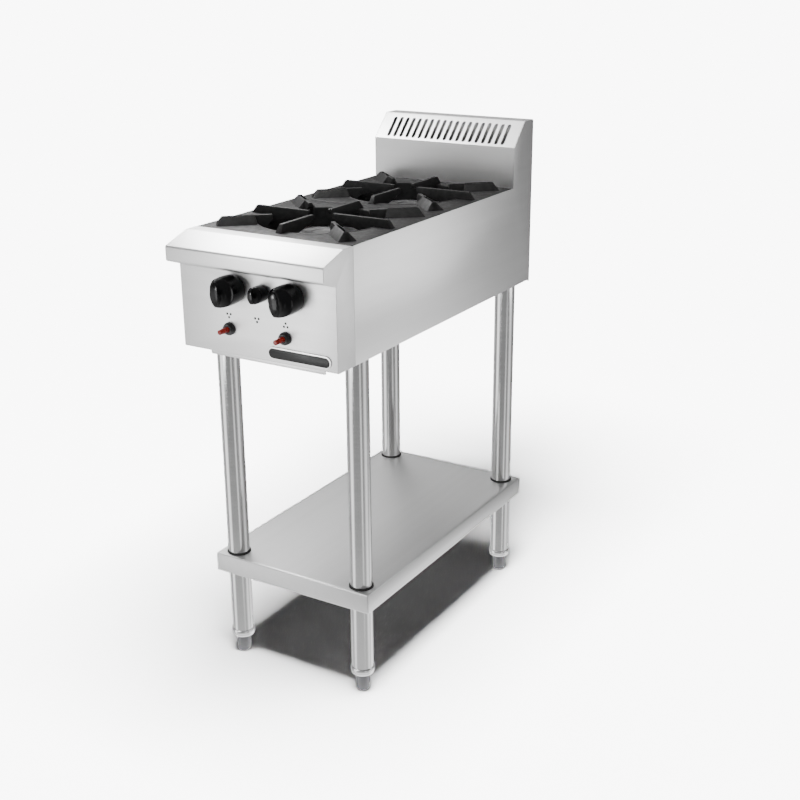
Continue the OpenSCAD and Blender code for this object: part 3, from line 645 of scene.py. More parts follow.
@dataclass(frozen=True)
class Plastic(Finish):
    """Moulded plastic, glossy or satin."""

    name: str
    colour: Triple
    rough: float = 0.22
    peel: float = 0.00002
    shine: float = 0.5

    def wire(self) -> Recipe:
        """Slightly wavy skin with faint wear in its gloss."""
        recipe = Recipe(self.name, Metallic=0.0, IOR=1.49, Specular_IOR_Level=self.shine)
        wear = recipe.noise(70.0, detail=4.0)
        dark = tuple(c * 0.88 for c in self.colour)
        light = tuple(min(1.0, c * 1.12) for c in self.colour)
        recipe.tint(wear, dark, light)
        recipe.roughness(wear, self.rough - 0.05, self.rough + 0.08)
        recipe.relief((recipe.noise(240.0, detail=1.0), self.peel))
        return recipe


@dataclass(frozen=True)
class Metal(Finish):
    """Plain metal, as machined, drawn or cast."""

    name: str
    colour: Triple
    rough: float = 0.34
    marks: Triple = (1.0, 1.0, 1.0)

    def wire(self) -> Recipe:
        """Tool marks and a little tarnish."""
        recipe = Recipe(self.name, Metallic=1.0)
        tarnish = recipe.noise(55.0, detail=4.0)
        recipe.tint(tarnish, tuple(c * 0.78 for c in self.colour), self.colour)
        recipe.roughness(tarnish, self.rough - 0.08, self.rough + 0.14)
        recipe.relief((recipe.noise(700.0, self.marks, 2.0), 0.00002))
        return recipe


SHEET_X = BrushedSteel(Grain.X, rough=0.45)
SHEET_Y = BrushedSteel(Grain.Y)
TUBE = TubeSteel()
ZINC = ZincSteel()
GRATE_IRON = CastIron()
BURNER_IRON = CastIron("burner_cast_iron", 0.036, 0.60, 0.00028, 0.25)
KNOB_BLACK = Plastic("knob_black", (0.006, 0.006, 0.0065), 0.14, 0.00001, 0.17)
BEZEL_BLACK = Plastic("bezel_black", (0.016, 0.016, 0.017), 0.42)
BUTTON_RED = Plastic("button_red", (0.62, 0.030, 0.018), 0.26)
COLLAR_BLACK = Plastic("collar_black", (0.010, 0.010, 0.010), 0.60, 0.00006)
CERAMIC = Plastic("white_ceramic", (0.78, 0.77, 0.73), 0.24, 0.00001)
MARK_INK = Plastic("mark_ink", (0.010, 0.010, 0.011), 0.50, 0.00001, 0.2)
FIELD_BLACK = Plastic("badge_field_black", (0.012, 0.012, 0.013), 0.34, 0.00002, 0.3)
BRASS = Metal("machined_brass", (0.70, 0.48, 0.18), 0.28, (0.05, 1.0, 0.05))
COPPER = Metal("drawn_copper", (0.72, 0.36, 0.22), 0.30)
PIPE_GREY = Metal("black_pipe", (0.12, 0.12, 0.12), 0.52)
FOOT_GREY = Metal("cast_foot_grey", (0.24, 0.24, 0.25), 0.44)
RIM_METAL = Metal("badge_rim", (0.86, 0.86, 0.86), 0.30)


def dress(piece: Piece, finish: Finish, body: str, slot: str, *nodes: str) -> None:
    """Gives a new piece its finish and body, and hides the nodes it stands for.

    Args:
        piece: The finished piece.
        finish: Its finish.
        body: The body it moves with.
        slot: Not used.
        nodes: The CAD nodes that it replaces.
    """
    piece.data.materials.clear()
    piece.data.materials.append(finish.material)
    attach(piece, body)
    if nodes:
        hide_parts(*nodes)
    log.info("%s: %d faces, rides on %s", piece.name, len(piece.data.polygons), body)


# Sub-assemblies


@dataclass
class FrontPanel:
    """Face, ledge and side returns, with the printed marks and the bare badge plate."""

    sheet: float = 0.0012
    ledge_reach: float = 0.032
    ledge_fall: float = 0.017
    ledge_edge: float = 0.024
    ledge_under: float = 0.011
    slope_end: float = 0.0205
    nose: float = 0.004
    bend: float = 0.0022
    flange: float = 0.014
    weld: float = 0.0009
    stem_room: float = 0.0015
    igniter_hole: float = 0.0088
    drill: float = 0.02
    mark_columns: tuple[tuple[float, int], ...] = ((-0.055, -1), (0.0, -1), (0.055, 1))
    mark_radius: float = 0.0020
    mark_pitch: float = 0.0034
    mark_level: float = 0.668
    badge_at: Flat = (0.079, 0.6195)
    badge_half: float = 0.060
    badge_radius: float = 0.0105
    badge_border: float = 0.0024
    room: Box = field(default_factory=lambda: Box.of("front_panel"))

    @property
    def face(self) -> float:
        """Depth of the panel's face."""
        return self.room.low.y + self.ledge_reach

    def build(self) -> None:
        """Builds the panel, the marks and the badge."""
        self.build_shell()
        self.build_marks()
        self.build_badge()

    def build_shell(self) -> None:
        """Folds the panel from one outline and cuts the holes for the controls."""
        low, high = self.room.low, self.room.high
        nose_top = high.z - self.ledge_fall
        nose_foot = nose_top - self.ledge_edge
        outline = rounded([
            (high.y, high.z, self.bend),
            (self.face + self.slope_end, high.z, self.bend),
            (low.y, nose_top, self.nose),
            (low.y, nose_foot, self.nose),
            (self.face, nose_foot - self.ledge_under, self.bend),
            (self.face, low.z, self.bend),
            (high.y, low.z, 0),
        ])
        shell = plate("front_panel_sheet", outline, Axis.X, low.x, high.x)
        rear, foot = high.y - NEAR, low.z + NEAR

        def open_side(at: Vector, normal: Vector) -> bool:
            """The rear and the underside of the solid."""
            return (normal.y > ALONG and at.y > rear) or (normal.z < -ALONG and at.z < foot)

        def behind_ledge(at: Vector, along: Vector) -> bool:
            """The ledge's rear edge."""
            return abs(along.x) > ALONG and at.y > rear and at.z > foot

        def under_face(at: Vector, along: Vector) -> bool:
            """The face's lower edge."""
            return abs(along.x) > ALONG and at.y < rear and at.z < foot

        def turned_in(at: Vector, normal: Vector) -> bool:
            """The flanges' faces, where they have come out facing into the panel."""
            return (normal.y < -ALONG and at.y > rear) or (normal.z > ALONG and at.z < foot)

        def end_corner(at: Vector, along: Vector) -> bool:
            """The welded corners at both ends."""
            at_end = abs(abs(at.x) - high.x) < NEAR and abs(along.x) < 1 - ALONG
            return at_end and at.y < rear and at.z > foot

        with editing(shell):
            pick(shell, Part.FACES, open_side)
            bpy.ops.mesh.delete(type="ONLY_FACE")
        with editing(shell):
            pick(shell, Part.EDGES, behind_ledge)
            pull_edges((0, 0, -self.flange))
            pick(shell, Part.EDGES, under_face)
            pull_edges((0, self.flange, 0))
            pick(shell, Part.FACES, turned_in)
            bpy.ops.mesh.flip_normals()
        with editing(shell):
            pick(shell, Part.EDGES, end_corner)
            bpy.ops.mesh.bevel(offset=self.weld, segments=3, affect="EDGES")
        thicken(shell, self.sheet)
        carve(shell, self.control_cutters())
        smooth(shell, 28)
        dress(shell, SHEET_X, "range", "stainless", "front_panel")

    def control_cutters(self) -> list[Piece]:
        """Cutters for the holes of the stems and the igniters."""
        stems = [Box.of(f"{name}_valve_stem") for name in ("left", "right", "pilot")]
        holes = [(stem, stem.size.x / 2 + self.stem_room) for stem in stems]
        holes += [(Box.of(f"{side}_igniter"), self.igniter_hole) for side in ("left", "right")]
        return [
            rod_cutter((box.centre.x, self.face, box.centre.z), radius, self.drill, Axis.Y)
            for box, radius in holes
        ]

    def build_marks(self) -> None:
        """Prints three dots under each control, one of them for the burner it works."""
        profile = [(0, 0), (self.mark_radius, 0), (self.mark_radius, 0.00008), (0, 0.0001)]
        dots = []
        for across, single in self.mark_columns:
            for x, z in ((0, single), (-1, -single), (1, -single)):
                level = self.mark_level + z * self.mark_pitch * 0.8
                at = (across + x * self.mark_pitch, self.face + 0.00002, level)
                dots.append(turned("dot", profile, at, Axis.Y, back=True, steps=20))
        dress(joined("burner_marks", dots), MARK_INK, "range", "stainless")

    def build_badge(self) -> None:
        """Sets the bare badge: a light rim round a dark field."""
        rim = self.badge_layer("badge_rim", 0, 0.0020, 0.00002)
        soften(rim, 0.0008, 3)
        dress(rim, RIM_METAL, "range", "stainless")
        dark = self.badge_layer("badge_field", self.badge_border, 0.0022, 0.0006)
        soften(dark, 0.0002)
        dress(dark, FIELD_BLACK, "range", "knob_black")

    def badge_layer(self, name: str, inset: float, front: float, back: float) -> Piece:
        """Cuts one layer of the badge, from its inset and how far it stands off the face."""
        outline = stadium(self.badge_at, self.badge_half - inset, self.badge_radius - inset)
        return plate(name, outline, Axis.Y, self.face - front, self.face - back)


@dataclass
class SidePanels:
    """The two side walls, each with its flanges and the strip behind the seam."""

    sheet: float = 0.0012
    edge: float = 0.0005
    front_gap: float = 0.0005
    rear_gap: float = 0.0003
    flue_depth: float = 0.078
    splash: float = 0.074
    rise: float = 0.043
    worktop: float = 0.793
    flange: float = 0.015
    leg_room: float = 0.026
    strip_reach: float = 0.014
    room: Box = field(default_factory=lambda: Box.of("right_side_panel"))

    def build(self) -> None:
        """Builds the right wall and copies it, mirrored, to the left."""
        right = self.build_wall()
        left = copied(right, "left_side_sheet", MIRROR)
        dress(right, SHEET_Y, "range", "stainless", "right_side_panel")
        dress(left, SHEET_Y, "range", "stainless", "left_side_panel")

    def build_wall(self) -> Piece:
        """Cuts the wall from its outline and adds its flanges and the seam's strip."""
        low, high = self.room.low, self.room.high
        panel_rear = Box.of("rear_panel")
        front = Box.of("front_panel").high.y + self.front_gap
        back = panel_rear.low.y - self.rear_gap
        flue = panel_rear.high.y - self.flue_depth
        knee = self.worktop + self.splash
        outline = [
            (front, low.z), (front, self.worktop), (flue, self.worktop), (flue, knee),
            (flue + self.rise, high.z), (back, high.z), (back, low.z),
        ]
        parts = [plate("right_side_sheet", outline, Axis.X, high.x - self.sheet, high.x)]
        edge, half = high.x - self.flange, high.x - self.sheet / 2
        seam = high.x - self.sheet
        legs = [
            Box.of("front_right_leg").centre.y + self.leg_room,
            Box.of("rear_right_leg").centre.y - self.leg_room,
        ]
        for start, end in (
            ((edge, legs[0], low.z), (half, legs[1], low.z + self.sheet)),
            ((edge, back - self.sheet, low.z), (half, back, high.z - self.sheet - 0.0006)),
            (
                (seam - 0.0015, front - self.strip_reach, low.z + 0.022),
                (seam - 0.0003, front + 0.012, self.worktop - 0.068),
            ),
        ):
            parts.append(block("flange", start, end))
        for piece in parts:
            soften(piece, self.edge)
        return joined("right_side_sheet", parts)


@dataclass
class Flue:
    """Splash face, slotted slope and top of the flue, and the rear wall's screws."""

    sheet: float = 0.0012
    bend: float = 0.0022
    slots: int = 19
    pitch: float = 0.0136
    slot_radius: float = 0.00375
    slot_start: float = 0.0045
    slot_length: float = 0.047
    screw_head: float = 0.0042
    recess: Flat = (0.0004, 0.0019)
    room: Box = field(default_factory=lambda: Box.of("flue_cover"))

    def build(self) -> None:
        """Builds the cover and the screws."""
        self.build_cover()
        self.build_screws()

    def build_cover(self) -> None:
        """Bends the cover and cuts its row of slots."""
        low, high = self.room.low, self.room.high
        side = SidePanels()
        top, knee = low.y + side.rise, side.worktop + side.splash
        line = [(high.y, high.z, 0), (top, high.z, self.bend), (low.y, knee, self.bend)]
        path = rounded([*line, (low.y, low.z, 0)], closed=False)
        cover = strip("flue_cover_sheet", path, low.x, high.x, self.sheet, (0, 0, 1))
        start = Vector((0, low.y, knee))
        slope = (Vector((0, top, high.z)) - start).normalized()
        middle = start + slope * (self.slot_start + self.slot_length / 2)
        lean = Matrix.Rotation(math.atan2(slope.z, slope.y), 4, "X")
        turn = Matrix.Translation(middle) @ lean
        outline = [(y, x) for x, y in stadium((0, 0), self.slot_length / 2, self.slot_radius, 6)]
        places = []
        for i in range(self.slots):
            aside = Matrix.Translation(((i - (self.slots - 1) / 2) * self.pitch, 0, 0))
            places.append(aside @ turn)
        carve(cover, stamped(plate("cutter", outline, Axis.Z, -0.004, 0.004), places))
        smooth(cover, 28)
        dress(cover, SHEET_X, "range", "stainless", "flue_cover")

    def build_screws(self) -> None:
        """Models one screw with a cross recess and copies it to the eight holes."""
        room, head = Box.of("rear_panel_screws"), self.screw_head
        body = [(0, -0.008), (0.002, -0.008), (0.002, 0.0003), (head, 0.0003)]
        dome = [(head, 0.0008), (0.0034, 0.0017), (0.0019, 0.0020), (0, 0.0021)]
        screw = turned("screw", body + dome, axis=Axis.Y, steps=28)
        for x, z in (self.recess, self.recess[::-1]):
            carve(screw, [block("cutter", (-x, 0.0012, -z), (x, 0.004, z))])
        smooth(screw)
        depth, span = Box.of("rear_panel").high.y, room.size.z - 2 * head
        places = [
            Matrix.Translation((x, depth, room.low.z + head + i * span / 3))
            for x in (room.low.x + head, room.high.x - head)
            for i in range(4)
        ]
        screws = joined("rear_screws", stamped(screw, places))
        dress(screws, RIM_METAL, "range", "zinc_steel", "rear_panel_screws")


@dataclass
class Grates:
    """Cast grates: plate, bowl wall and eight fingers each."""

    plate_t: float = 0.008
    proud: float = 0.0135
    corner: float = 0.005
    rim: float = 0.03065
    rim_step: float = 0.005
    bowl_h: float = 0.024
    bowl_t: float = 0.005
    bowl_in: float = 0.004
    top_w: float = 0.0064
    foot_w: float = 0.012
    flank_w: float = 0.034
    finger_in: float = 0.024
    corner_lap: float = 0.024
    corner_margin: float = 0.028
    margin: float = 0.009
    run: float = 0.010
    edge: float = 0.0011

    def build(self) -> None:
        """Builds the front grate and copies it to the rear."""
        room, rear = Box.of("front_grate"), Box.of("rear_grate")
        front = self.build_one(room)
        back = copied(front, "rear_pot_grate", Matrix.Translation(rear.centre - room.centre))
        dress(front, GRATE_IRON, "front_grate", "cast_grate", "front_grate")
        dress(back, GRATE_IRON, "rear_grate", "cast_grate", "rear_grate")

    def build_one(self, room: Box) -> Piece:
        """Casts one grate from its parts, as one piece."""
        half_x, half_y = room.size.x / 2, room.size.y / 2
        bowl = half_y - self.rim
        signs = ((-1, -1), (1, -1), (1, 1), (-1, 1))
        outline = rounded([(x * half_x, y * half_y, self.corner) for x, y in signs])
        slab = plate("slab", outline, Axis.Z, 0, self.plate_t)
        hole = [(0, -0.01), (bowl + 0.002, -0.01), (bowl + 0.002, 0.02), (0, 0.02)]
        carve(slab, [turned("cutter", hole, steps=96)])
        soften(slab, self.edge, 3)
        parts = [slab, self.build_bowl(bowl)]
        long_x = self.build_finger(bowl, self.finger_in, half_x - self.margin)
        long_y = self.build_finger(bowl, self.finger_in, half_y - self.margin - self.rim_step)
        out = math.hypot(half_x, half_y) - self.corner_margin
        short = self.build_finger(bowl, bowl - self.corner_lap, out)
        short = joined("finger", [short, self.build_flanks(bowl, out)])
        turn = math.atan2(half_y, half_x)
        for finger, angles in (
            (long_x, (0, math.pi)),
            (long_y, (math.pi / 2, -math.pi / 2)),
            (short, (turn, math.pi - turn, math.pi + turn, -turn)),
        ):
            parts += stamped(finger, [Matrix.Rotation(angle, 4, "Z") for angle in angles])
        grate = joined("front_pot_grate", parts)
        under = room.high.z - self.proud - self.plate_t
        grate.location = (room.centre.x, room.centre.y, under)
        settle(grate)
        return grate

    def build_bowl(self, bowl: float) -> Piece:
        """Turns the wall round the opening, with its rounded lip."""
        lip, foot, outer = self.plate_t + 0.0006, bowl - self.bowl_in, bowl + self.bowl_t
        line = [(bowl, lip, 0.002), (bowl, 0.001, 0), (foot, -self.bowl_h, 0.0015)]
        line.append((foot + self.bowl_t, -self.bowl_h, 0.0015))
        line += [(outer, 0.001, 0), (outer, lip, 0.0015)]
        wall = turned("bowl", rounded(line, steps=3), steps=128, ring=True)
        smooth(wall, 40)
        return wall

    def build_finger(self, bowl: float, inner: float, outer: float) -> Piece:
        """Shapes one finger along +X.

        Args:
            bowl: Radius of the plate's opening.
            inner: Radius at which the finger ends over the burner.
            outer: Radius of its foot on the plate.

        Returns:
            The finger.
        """
        top, seat = self.plate_t + self.proud, bowl + 0.002
        line = [
            (inner, top - 0.008, 0.002), (inner, top, 0.0015), (outer - self.run, top, 0.003),
            (outer, self.plate_t - 0.001, 0), (seat, self.plate_t - 0.002, 0), (seat, -0.006, 0),
            (bowl - 0.003, -0.006, 0),
        ]
        return self.build_ridge(rounded(line, steps=3), self.foot_w, self.edge, 25)

    def build_flanks(self, bowl: float, outer: float) -> Piece:
        """Shapes the broad flanks that a corner finger has on the plate, along +X."""
        top, start = self.plate_t + self.proud, bowl + 0.001
        profile = [
            (start, 0.001), (start, self.plate_t), (bowl + 0.005, top), (outer - self.run, top),
            (outer, self.plate_t - 0.001), (outer, 0.001),
        ]
        return self.build_ridge(profile, self.flank_w, self.edge * 1.6, 20)

    def build_ridge(
        self, profile: Sequence[Flat], foot: float, edge: float, angle: float
    ) -> Piece:
        """Makes a ridge that narrows from the plate to its top.

        Args:
            profile: Its outline from the side.
            foot: Its width on the plate.
            edge: Width of its rounded edges.
            angle: Edges sharper than this, in degrees, are rounded.

        Returns:
            The ridge.
        """
        ridge = plate("ridge", profile, Axis.Y, -foot / 2, foot / 2)
        start = self.plate_t - 0.002
        rise = self.plate_t + self.proud - start
        lean = (foot - self.top_w) / 2
        for side in (1, -1):
            with editing(ridge, whole=True):
                bpy.ops.mesh.bisect(
                    plane_co=(0, side * foot / 2, start), plane_no=(0, side * rise, lean),
                    use_fill=True, clear_outer=True, threshold=1e-6,
                )
        turn_outwards(ridge)
        soften(ridge, edge, 3, angle)
        return ridge


@dataclass
class Burners:
    """Loose caps on the slotted burner heads."""

    skirt: float = 0.004
    dish: float = 0.0012
    edge: float = 0.0016

    def build(self) -> None:
        """Builds both caps."""
        for end in ("front", "rear"):
            room = Box.of(f"{end}_burner_cap")
            radius = room.size.x / 2
            seat = room.low.z + self.skirt
            height = room.high.z - seat
            inner, outer, middle = radius - 0.008, radius - 0.0053, height - self.dish
            line = [
                (0, 0, 0), (inner, 0, 0), (inner, -self.skirt, 0.0006),
                (outer, -self.skirt, 0.0006), (outer, 0, 0), (radius, 0, 0.0006),
                (radius, 0.0026, self.edge), (radius - 0.007, height, 0.004),
                (radius * 0.42, height, 0.003), (radius * 0.36, middle, 0.003), (0, middle, 0),
            ]
            at = (room.centre.x, room.centre.y, seat)
            cap = turned(f"{end}_cap", rounded(line, closed=False), at, steps=72)
            smooth(cap, 35)
            dress(cap, BURNER_IRON, f"{end}_cap", "burner_iron", f"{end}_burner_cap")


@dataclass
class Knobs:
    """Moulded knobs: a round skirt scooped on both sides to leave a blade."""

    neck: float = 0.94
    waist: float = 0.36
    crown: float = 0.06
    gap: float = 0.0008
    voxel: float = 0.00055

    def build(self) -> None:
        """Builds the burner knob, copies it, and builds the pilot knob."""
        left, right, pilot = (Box.of(f"{n}_knob") for n in ("left", "right", "pilot"))
        knob = self.build_one("left_control_knob", left, 0.0365, 0.0160, 0.0060, 0.018)
        other = copied(knob, "right_control_knob", Matrix.Translation(right.centre - left.centre))
        small = self.build_one("pilot_control_knob", pilot, 0.0206, 0.0096, 0.0036, 0.0108)
        for piece, name in ((knob, "left_knob"), (other, "right_knob"), (small, "pilot_knob")):
            dress(piece, KNOB_BLACK, name, "knob_black", name)

    def build_one(
        self, name: str, room: Box, blade: float, mid_w: float, end_w: float, scoop: float
    ) -> Piece:
        """Turns a knob and scoops its sides.

        Args:
            name: The piece's name.
            room: The knob's box.
            blade: Height of the blade.
            mid_w: Width of the blade in its middle.
            end_w: Width of the blade at its ends.
            scoop: Radius of the scoops' curve.

        Returns:
            The knob.
        """
        face = FrontPanel().face
        radius, length = room.size.x / 2, face - room.low.y
        mid, end, half = mid_w / 2, end_w / 2, blade / 2
        axis_back = (half * half - mid * mid + end * end) / (2 * (mid - end))
        waist, front = length * self.waist, length * (1 - self.crown)
        line = [(0, self.gap), (radius * self.neck, self.gap)]
        for i in range(1, 7):
            turn = math.pi / 2 * i / 6
            across = radius * (self.neck + (1 - self.neck) * math.sin(turn))
            line.append((across, self.gap + (waist - self.gap) * (1 - math.cos(turn))))
        for i in range(1, 13):
            turn = math.pi / 2 * i / 12
            ahead = waist + (front - waist) * math.sin(turn)
            line.append((half + (radius - half) * math.cos(turn), ahead))
        for i in range(1, 7):
            across = 1 - i / 7
            line.append((half * across, length - length * self.crown * across**2))
        knob = turned(name, [*line, (0, length)], steps=96)
        reach, tip = axis_back + mid + scoop, length - 0.002
        turns = [2 * math.pi * i / 48 for i in range(48)]
        ring = [(reach + scoop * math.cos(a), tip + scoop * math.sin(a)) for a in turns]
        for side in (1, -1):
            carve(knob, [turned("cutter", ring, (-side * axis_back, 0, 0), steps=160, ring=True)])
        modify(knob, "REMESH", mode="VOXEL", voxel_size=self.voxel, use_smooth_shade=True)
        modify(knob, "SMOOTH", factor=0.5, iterations=6)
        knob.rotation_euler = (math.pi / 2, 0, 0)
        knob.location = (room.centre.x, face, room.centre.z)
        settle(knob)
        return knob


@dataclass
class Igniters:
    """Push-button igniters in their bezels."""

    bezel: float = 0.0105
    height: float = 0.009
    sunk: float = 0.0003
    barrel: float = 0.018
    bore: float = 0.00456
    button: float = 0.0045
    nut: float = 0.0125

    def build(self) -> None:
        """Builds both igniters and their buttons."""
        face = FrontPanel().face
        height = self.height - self.sunk
        hub, dish = self.bezel - 0.002, height - 0.0012
        line = [
            (self.bore, -self.barrel, 0), (hub, -self.barrel, 0), (hub, 0, 0),
            (self.bezel, 0, 0.0004), (self.bezel, height * 0.45, 0.001),
            (self.bezel - 0.0022, height, 0.0018), (self.bore + 0.0012, height, 0.0008),
            (self.bore + 0.0006, dish, 0.0004), (self.bore, dish, 0),
        ]
        can = [(0, 0.0055), (0.0085, 0.0055), (0.0085, 0.036), (0.0078, 0.038), (0, 0.038)]
        turns = [math.radians(60 * i) for i in range(6)]
        for side in ("left", "right"):
            x, _, z = Box.of(f"{side}_igniter").centre
            at = (x, face - self.sunk, z)
            bezel = turned("bezel", rounded(line), at, Axis.Y, back=True, ring=True)
            corners = [(x + self.nut * math.cos(a), z + self.nut * math.sin(a)) for a in turns]
            nut = plate("nut", corners, Axis.Y, face + 0.0015, face + 0.006)
            soften(nut, 0.0005)
            tail = turned("tail", can, (x, face, z), Axis.Y)
            smooth(tail)
            smooth(bezel, 35)
            whole = joined(f"{side}_igniter_bezel", [bezel, nut, tail])
            dress(whole, BEZEL_BLACK, "range", "bezel_black", f"{side}_igniter")
            self.build_button(side)

    def build_button(self, side: str) -> None:
        """Turns a push button with a rounded, slightly hollow tip."""
        room = Box.of(f"{side}_igniter_button")
        length, tip = room.size.y, self.button - 0.0005
        line = [
            (0, 0, 0), (self.button, 0, 0), (self.button, length - 0.0095, 0.0004),
            (tip, length - 0.009, 0.0004), (tip, length, 0.0014),
            (self.button * 0.5, length, 0.0006), (self.button * 0.4, length - 0.0004, 0.0006),
            (0, length - 0.0005, 0),
        ]
        at = (room.centre.x, room.high.y, room.centre.z)
        profile = rounded(line, closed=False)
        button = turned(f"{side}_push_button", profile, at, Axis.Y, back=True, steps=48)
        smooth(button, 35)
        dress(button, BUTTON_RED, f"{side}_button", "button_red", f"{side}_igniter_button")


@dataclass
class DripTray:
    """Sliding tray of thin sheet, with a ramp behind its lip."""

    sheet: float = 0.001
    lip_height: float = 0.013
    wing: float = 0.016
    ramp: float = 0.038
    bend: float = 0.0016
    flange: float = 0.008
    flange_start: float = 0.024
    edge: float = 0.0004
    room: Box = field(default_factory=lambda: Box.of("drip_tray"))

    def build(self) -> None:
        """Folds the trough, its sides, its flanges and the front lip."""
        low, high = self.room.low, self.room.high
        half = high.x - self.wing
        lip_low, inside = high.z - self.lip_height, low.y + self.sheet
        corners = [
            (inside, high.z - 0.0004, 0), (inside, lip_low + 0.0004, self.bend),
            (inside + self.ramp, low.z, self.bend * 2), (high.y, low.z, self.bend),
            (high.y, high.z, 0),
        ]
        line = rounded(corners, closed=False)
        trough = strip("trough", line, -half, half, self.sheet, (0, -1, 0))
        inner = half - self.sheet
        side = plate("side", [(y, max(z, low.z)) for y, z in line], Axis.X, inner, half)
        start = (inner, low.y + self.flange_start, high.z - self.sheet)
        flange = block("flange", start, (half + self.flange, high.y, high.z))
        wide = half + self.wing
        outline = [(-wide, lip_low, 0.003), (wide, lip_low, 0.003)]
        outline += [(wide, high.z, 0.0015), (-wide, high.z, 0.0015)]
        lip = plate("lip", rounded(outline), Axis.Y, low.y, inside)
        for piece in (trough, side, flange, lip):
            soften(piece, self.edge)
        others = [copied(piece, "side", MIRROR) for piece in (side, flange)]
        tray = joined("drip_tray_sheet", [trough, side, flange, lip, *others])
        dress(tray, SHEET_Y, "tray", "stainless", "drip_tray")


@dataclass
class Stand:
    """Legs, foot sleeves, levelling feet, undershelf and its collars."""

    wall: float = 0.0015
    sheet: float = 0.0012
    bend: float = 0.0024
    hem: float = 0.007
    hole: float = 0.0212
    foot_body: float = 0.0327
    stud: float = 0.006
    fit: float = 0.00006
    collar_rim: float = 0.0041

    LEGS = ("front_left", "front_right", "rear_left", "rear_right")

    def build(self) -> None:
        """Builds the stand from the floor up."""
        self.build_feet()
        self.build_sleeves()
        self.build_legs()
        self.build_shelf()
        self.build_collars()

    def centre(self, leg: str) -> Vector:
        """The middle of a leg."""
        return Box.of(f"{leg}_leg").centre

    @property
    def bore(self) -> float:
        """Radius of what sits round a leg, on its inner side."""
        return Box.of("front_right_leg").size.x / 2 + self.fit

    def spread(self, piece: Piece) -> list[Piece]:
        """Copies a piece drawn round the origin to all four legs and drops the first."""
        middles = [self.centre(leg) for leg in self.LEGS]
        return stamped(piece, [Matrix.Translation((at.x, at.y, 0)) for at in middles])

    def build_feet(self) -> None:
        """Turns the bullet-shaped feet with their studs."""
        room = Box.of("front_left_foot")
        radius, top, body = room.size.x / 2, room.high.z, self.foot_body
        line = [
            (0, 0, 0), (radius - 0.0012, 0, 0.0055), (radius - 0.0003, body * 0.4, 0.01),
            (radius, body - 0.009, 0.001), (radius, body, 0.0008), (self.stud, body, 0),
            (self.stud, top - 0.001, 0.0008), (0, top, 0),
        ]
        foot = turned("foot", rounded(line, closed=False))
        smooth(foot, 35)
        for leg, piece in zip(self.LEGS, self.spread(foot)):
            named(piece, f"{leg}_bullet_foot")
            dress(piece, FOOT_GREY, f"{leg}_foot", "foot_grey", f"{leg}_foot")

    def build_sleeves(self) -> None:
        """Turns the cups on the legs' lower ends, with a double ring at the rim."""
        room = Box.of("foot_sleeves")
        low, high = room.low.z, room.high.z
        radius = room.high.x - self.centre("front_right").x
        cup, hole = radius - 0.0008, self.stud + self.fit
        line = [
            (hole, low, 0), (cup, low, 0.0048), (cup, high - 0.0062, 0.001),
            (radius, high - 0.0052, 0.0006), (radius, high - 0.0006, 0.0007),
            (radius - 0.0010, high, 0.0005), (self.bore, high, 0), (self.bore, low + 0.003, 0),
            (hole, low + 0.003, 0),
        ]
        sleeve = turned("sleeve", rounded(line, steps=3), steps=96, ring=True)
        smooth(sleeve, 35)
        whole = joined("foot_sleeve_set", self.spread(sleeve))
        dress(whole, TUBE, "range", "leg_tube", "foot_sleeves")

    def build_legs(self) -> None:
        """Turns the four leg tubes, each with the hole for its screw."""
        room, screw = Box.of("front_left_leg"), Box.of("leg_screws")
        radius, low, high = room.size.x / 2, room.low.z, room.high.z
        inner = radius - self.wall
        profile = [(inner, low), (radius, low), (radius, high), (inner, high)]
        tube = turned("tube", profile, steps=96, ring=True)
        at = (0, radius, screw.centre.z)
        carve(tube, [rod_cutter(at, screw.size.z / 2 + 0.0001, 0.012, Axis.Y)])
        smooth(tube, 35)
        for leg, piece in zip(self.LEGS, self.spread(tube)):
            named(piece, f"{leg}_tube")
            dress(piece, TUBE, "range", "leg_tube", f"{leg}_leg")

    def build_shelf(self) -> None:
        """Folds the undershelf with welded corners and a hem."""
        room = Box.of("undershelf")
        low, high, middle = room.low, room.high, room.centre
        half_x, half_y = room.size.x / 2, room.size.y / 2

        def underside(at: Vector, normal: Vector) -> bool:
            """The face that looks down."""
            return normal.z < -ALONG

        def lower_edge(at: Vector, along: Vector) -> bool:
            """The edges round the underside."""
            return abs(at.z - low.z) < NEAR

        def bent(at: Vector, along: Vector) -> bool:
            """The upright corners, the edges of the top and the fold to the hem."""
            outside = max(abs(at.x) - half_x, abs(at.y - middle.y) - half_y) > -NEAR
            rim = outside and at.z < low.z + NEAR
            return abs(along.z) > ALONG or at.z > high.z - NEAR or rim

        shelf = block("undershelf_sheet", low, high)
        with editing(shelf):
            pick(shelf, Part.FACES, underside)
            bpy.ops.mesh.delete(type="ONLY_FACE")
            pick(shelf, Part.EDGES, lower_edge)
            pull_edges((0, 0, 0))
            bpy.ops.transform.resize(
                value=((half_x - self.hem) / half_x, (half_y - self.hem) / half_y, 1),
                center_override=(middle.x, middle.y, low.z),
            )
            pick(shelf, Part.EDGES, bent)
            bpy.ops.mesh.bevel(offset=self.bend, segments=4, affect="EDGES")
        thicken(shelf, self.sheet)
        legs = [self.centre(leg) for leg in self.LEGS]
        carve(shelf, [rod_cutter((at.x, at.y, high.z), self.hole, 0.01, Axis.Z) for at in legs])
        smooth(shelf, 28)
        dress(shelf, SHEET_Y, "range", "stainless", "undershelf")

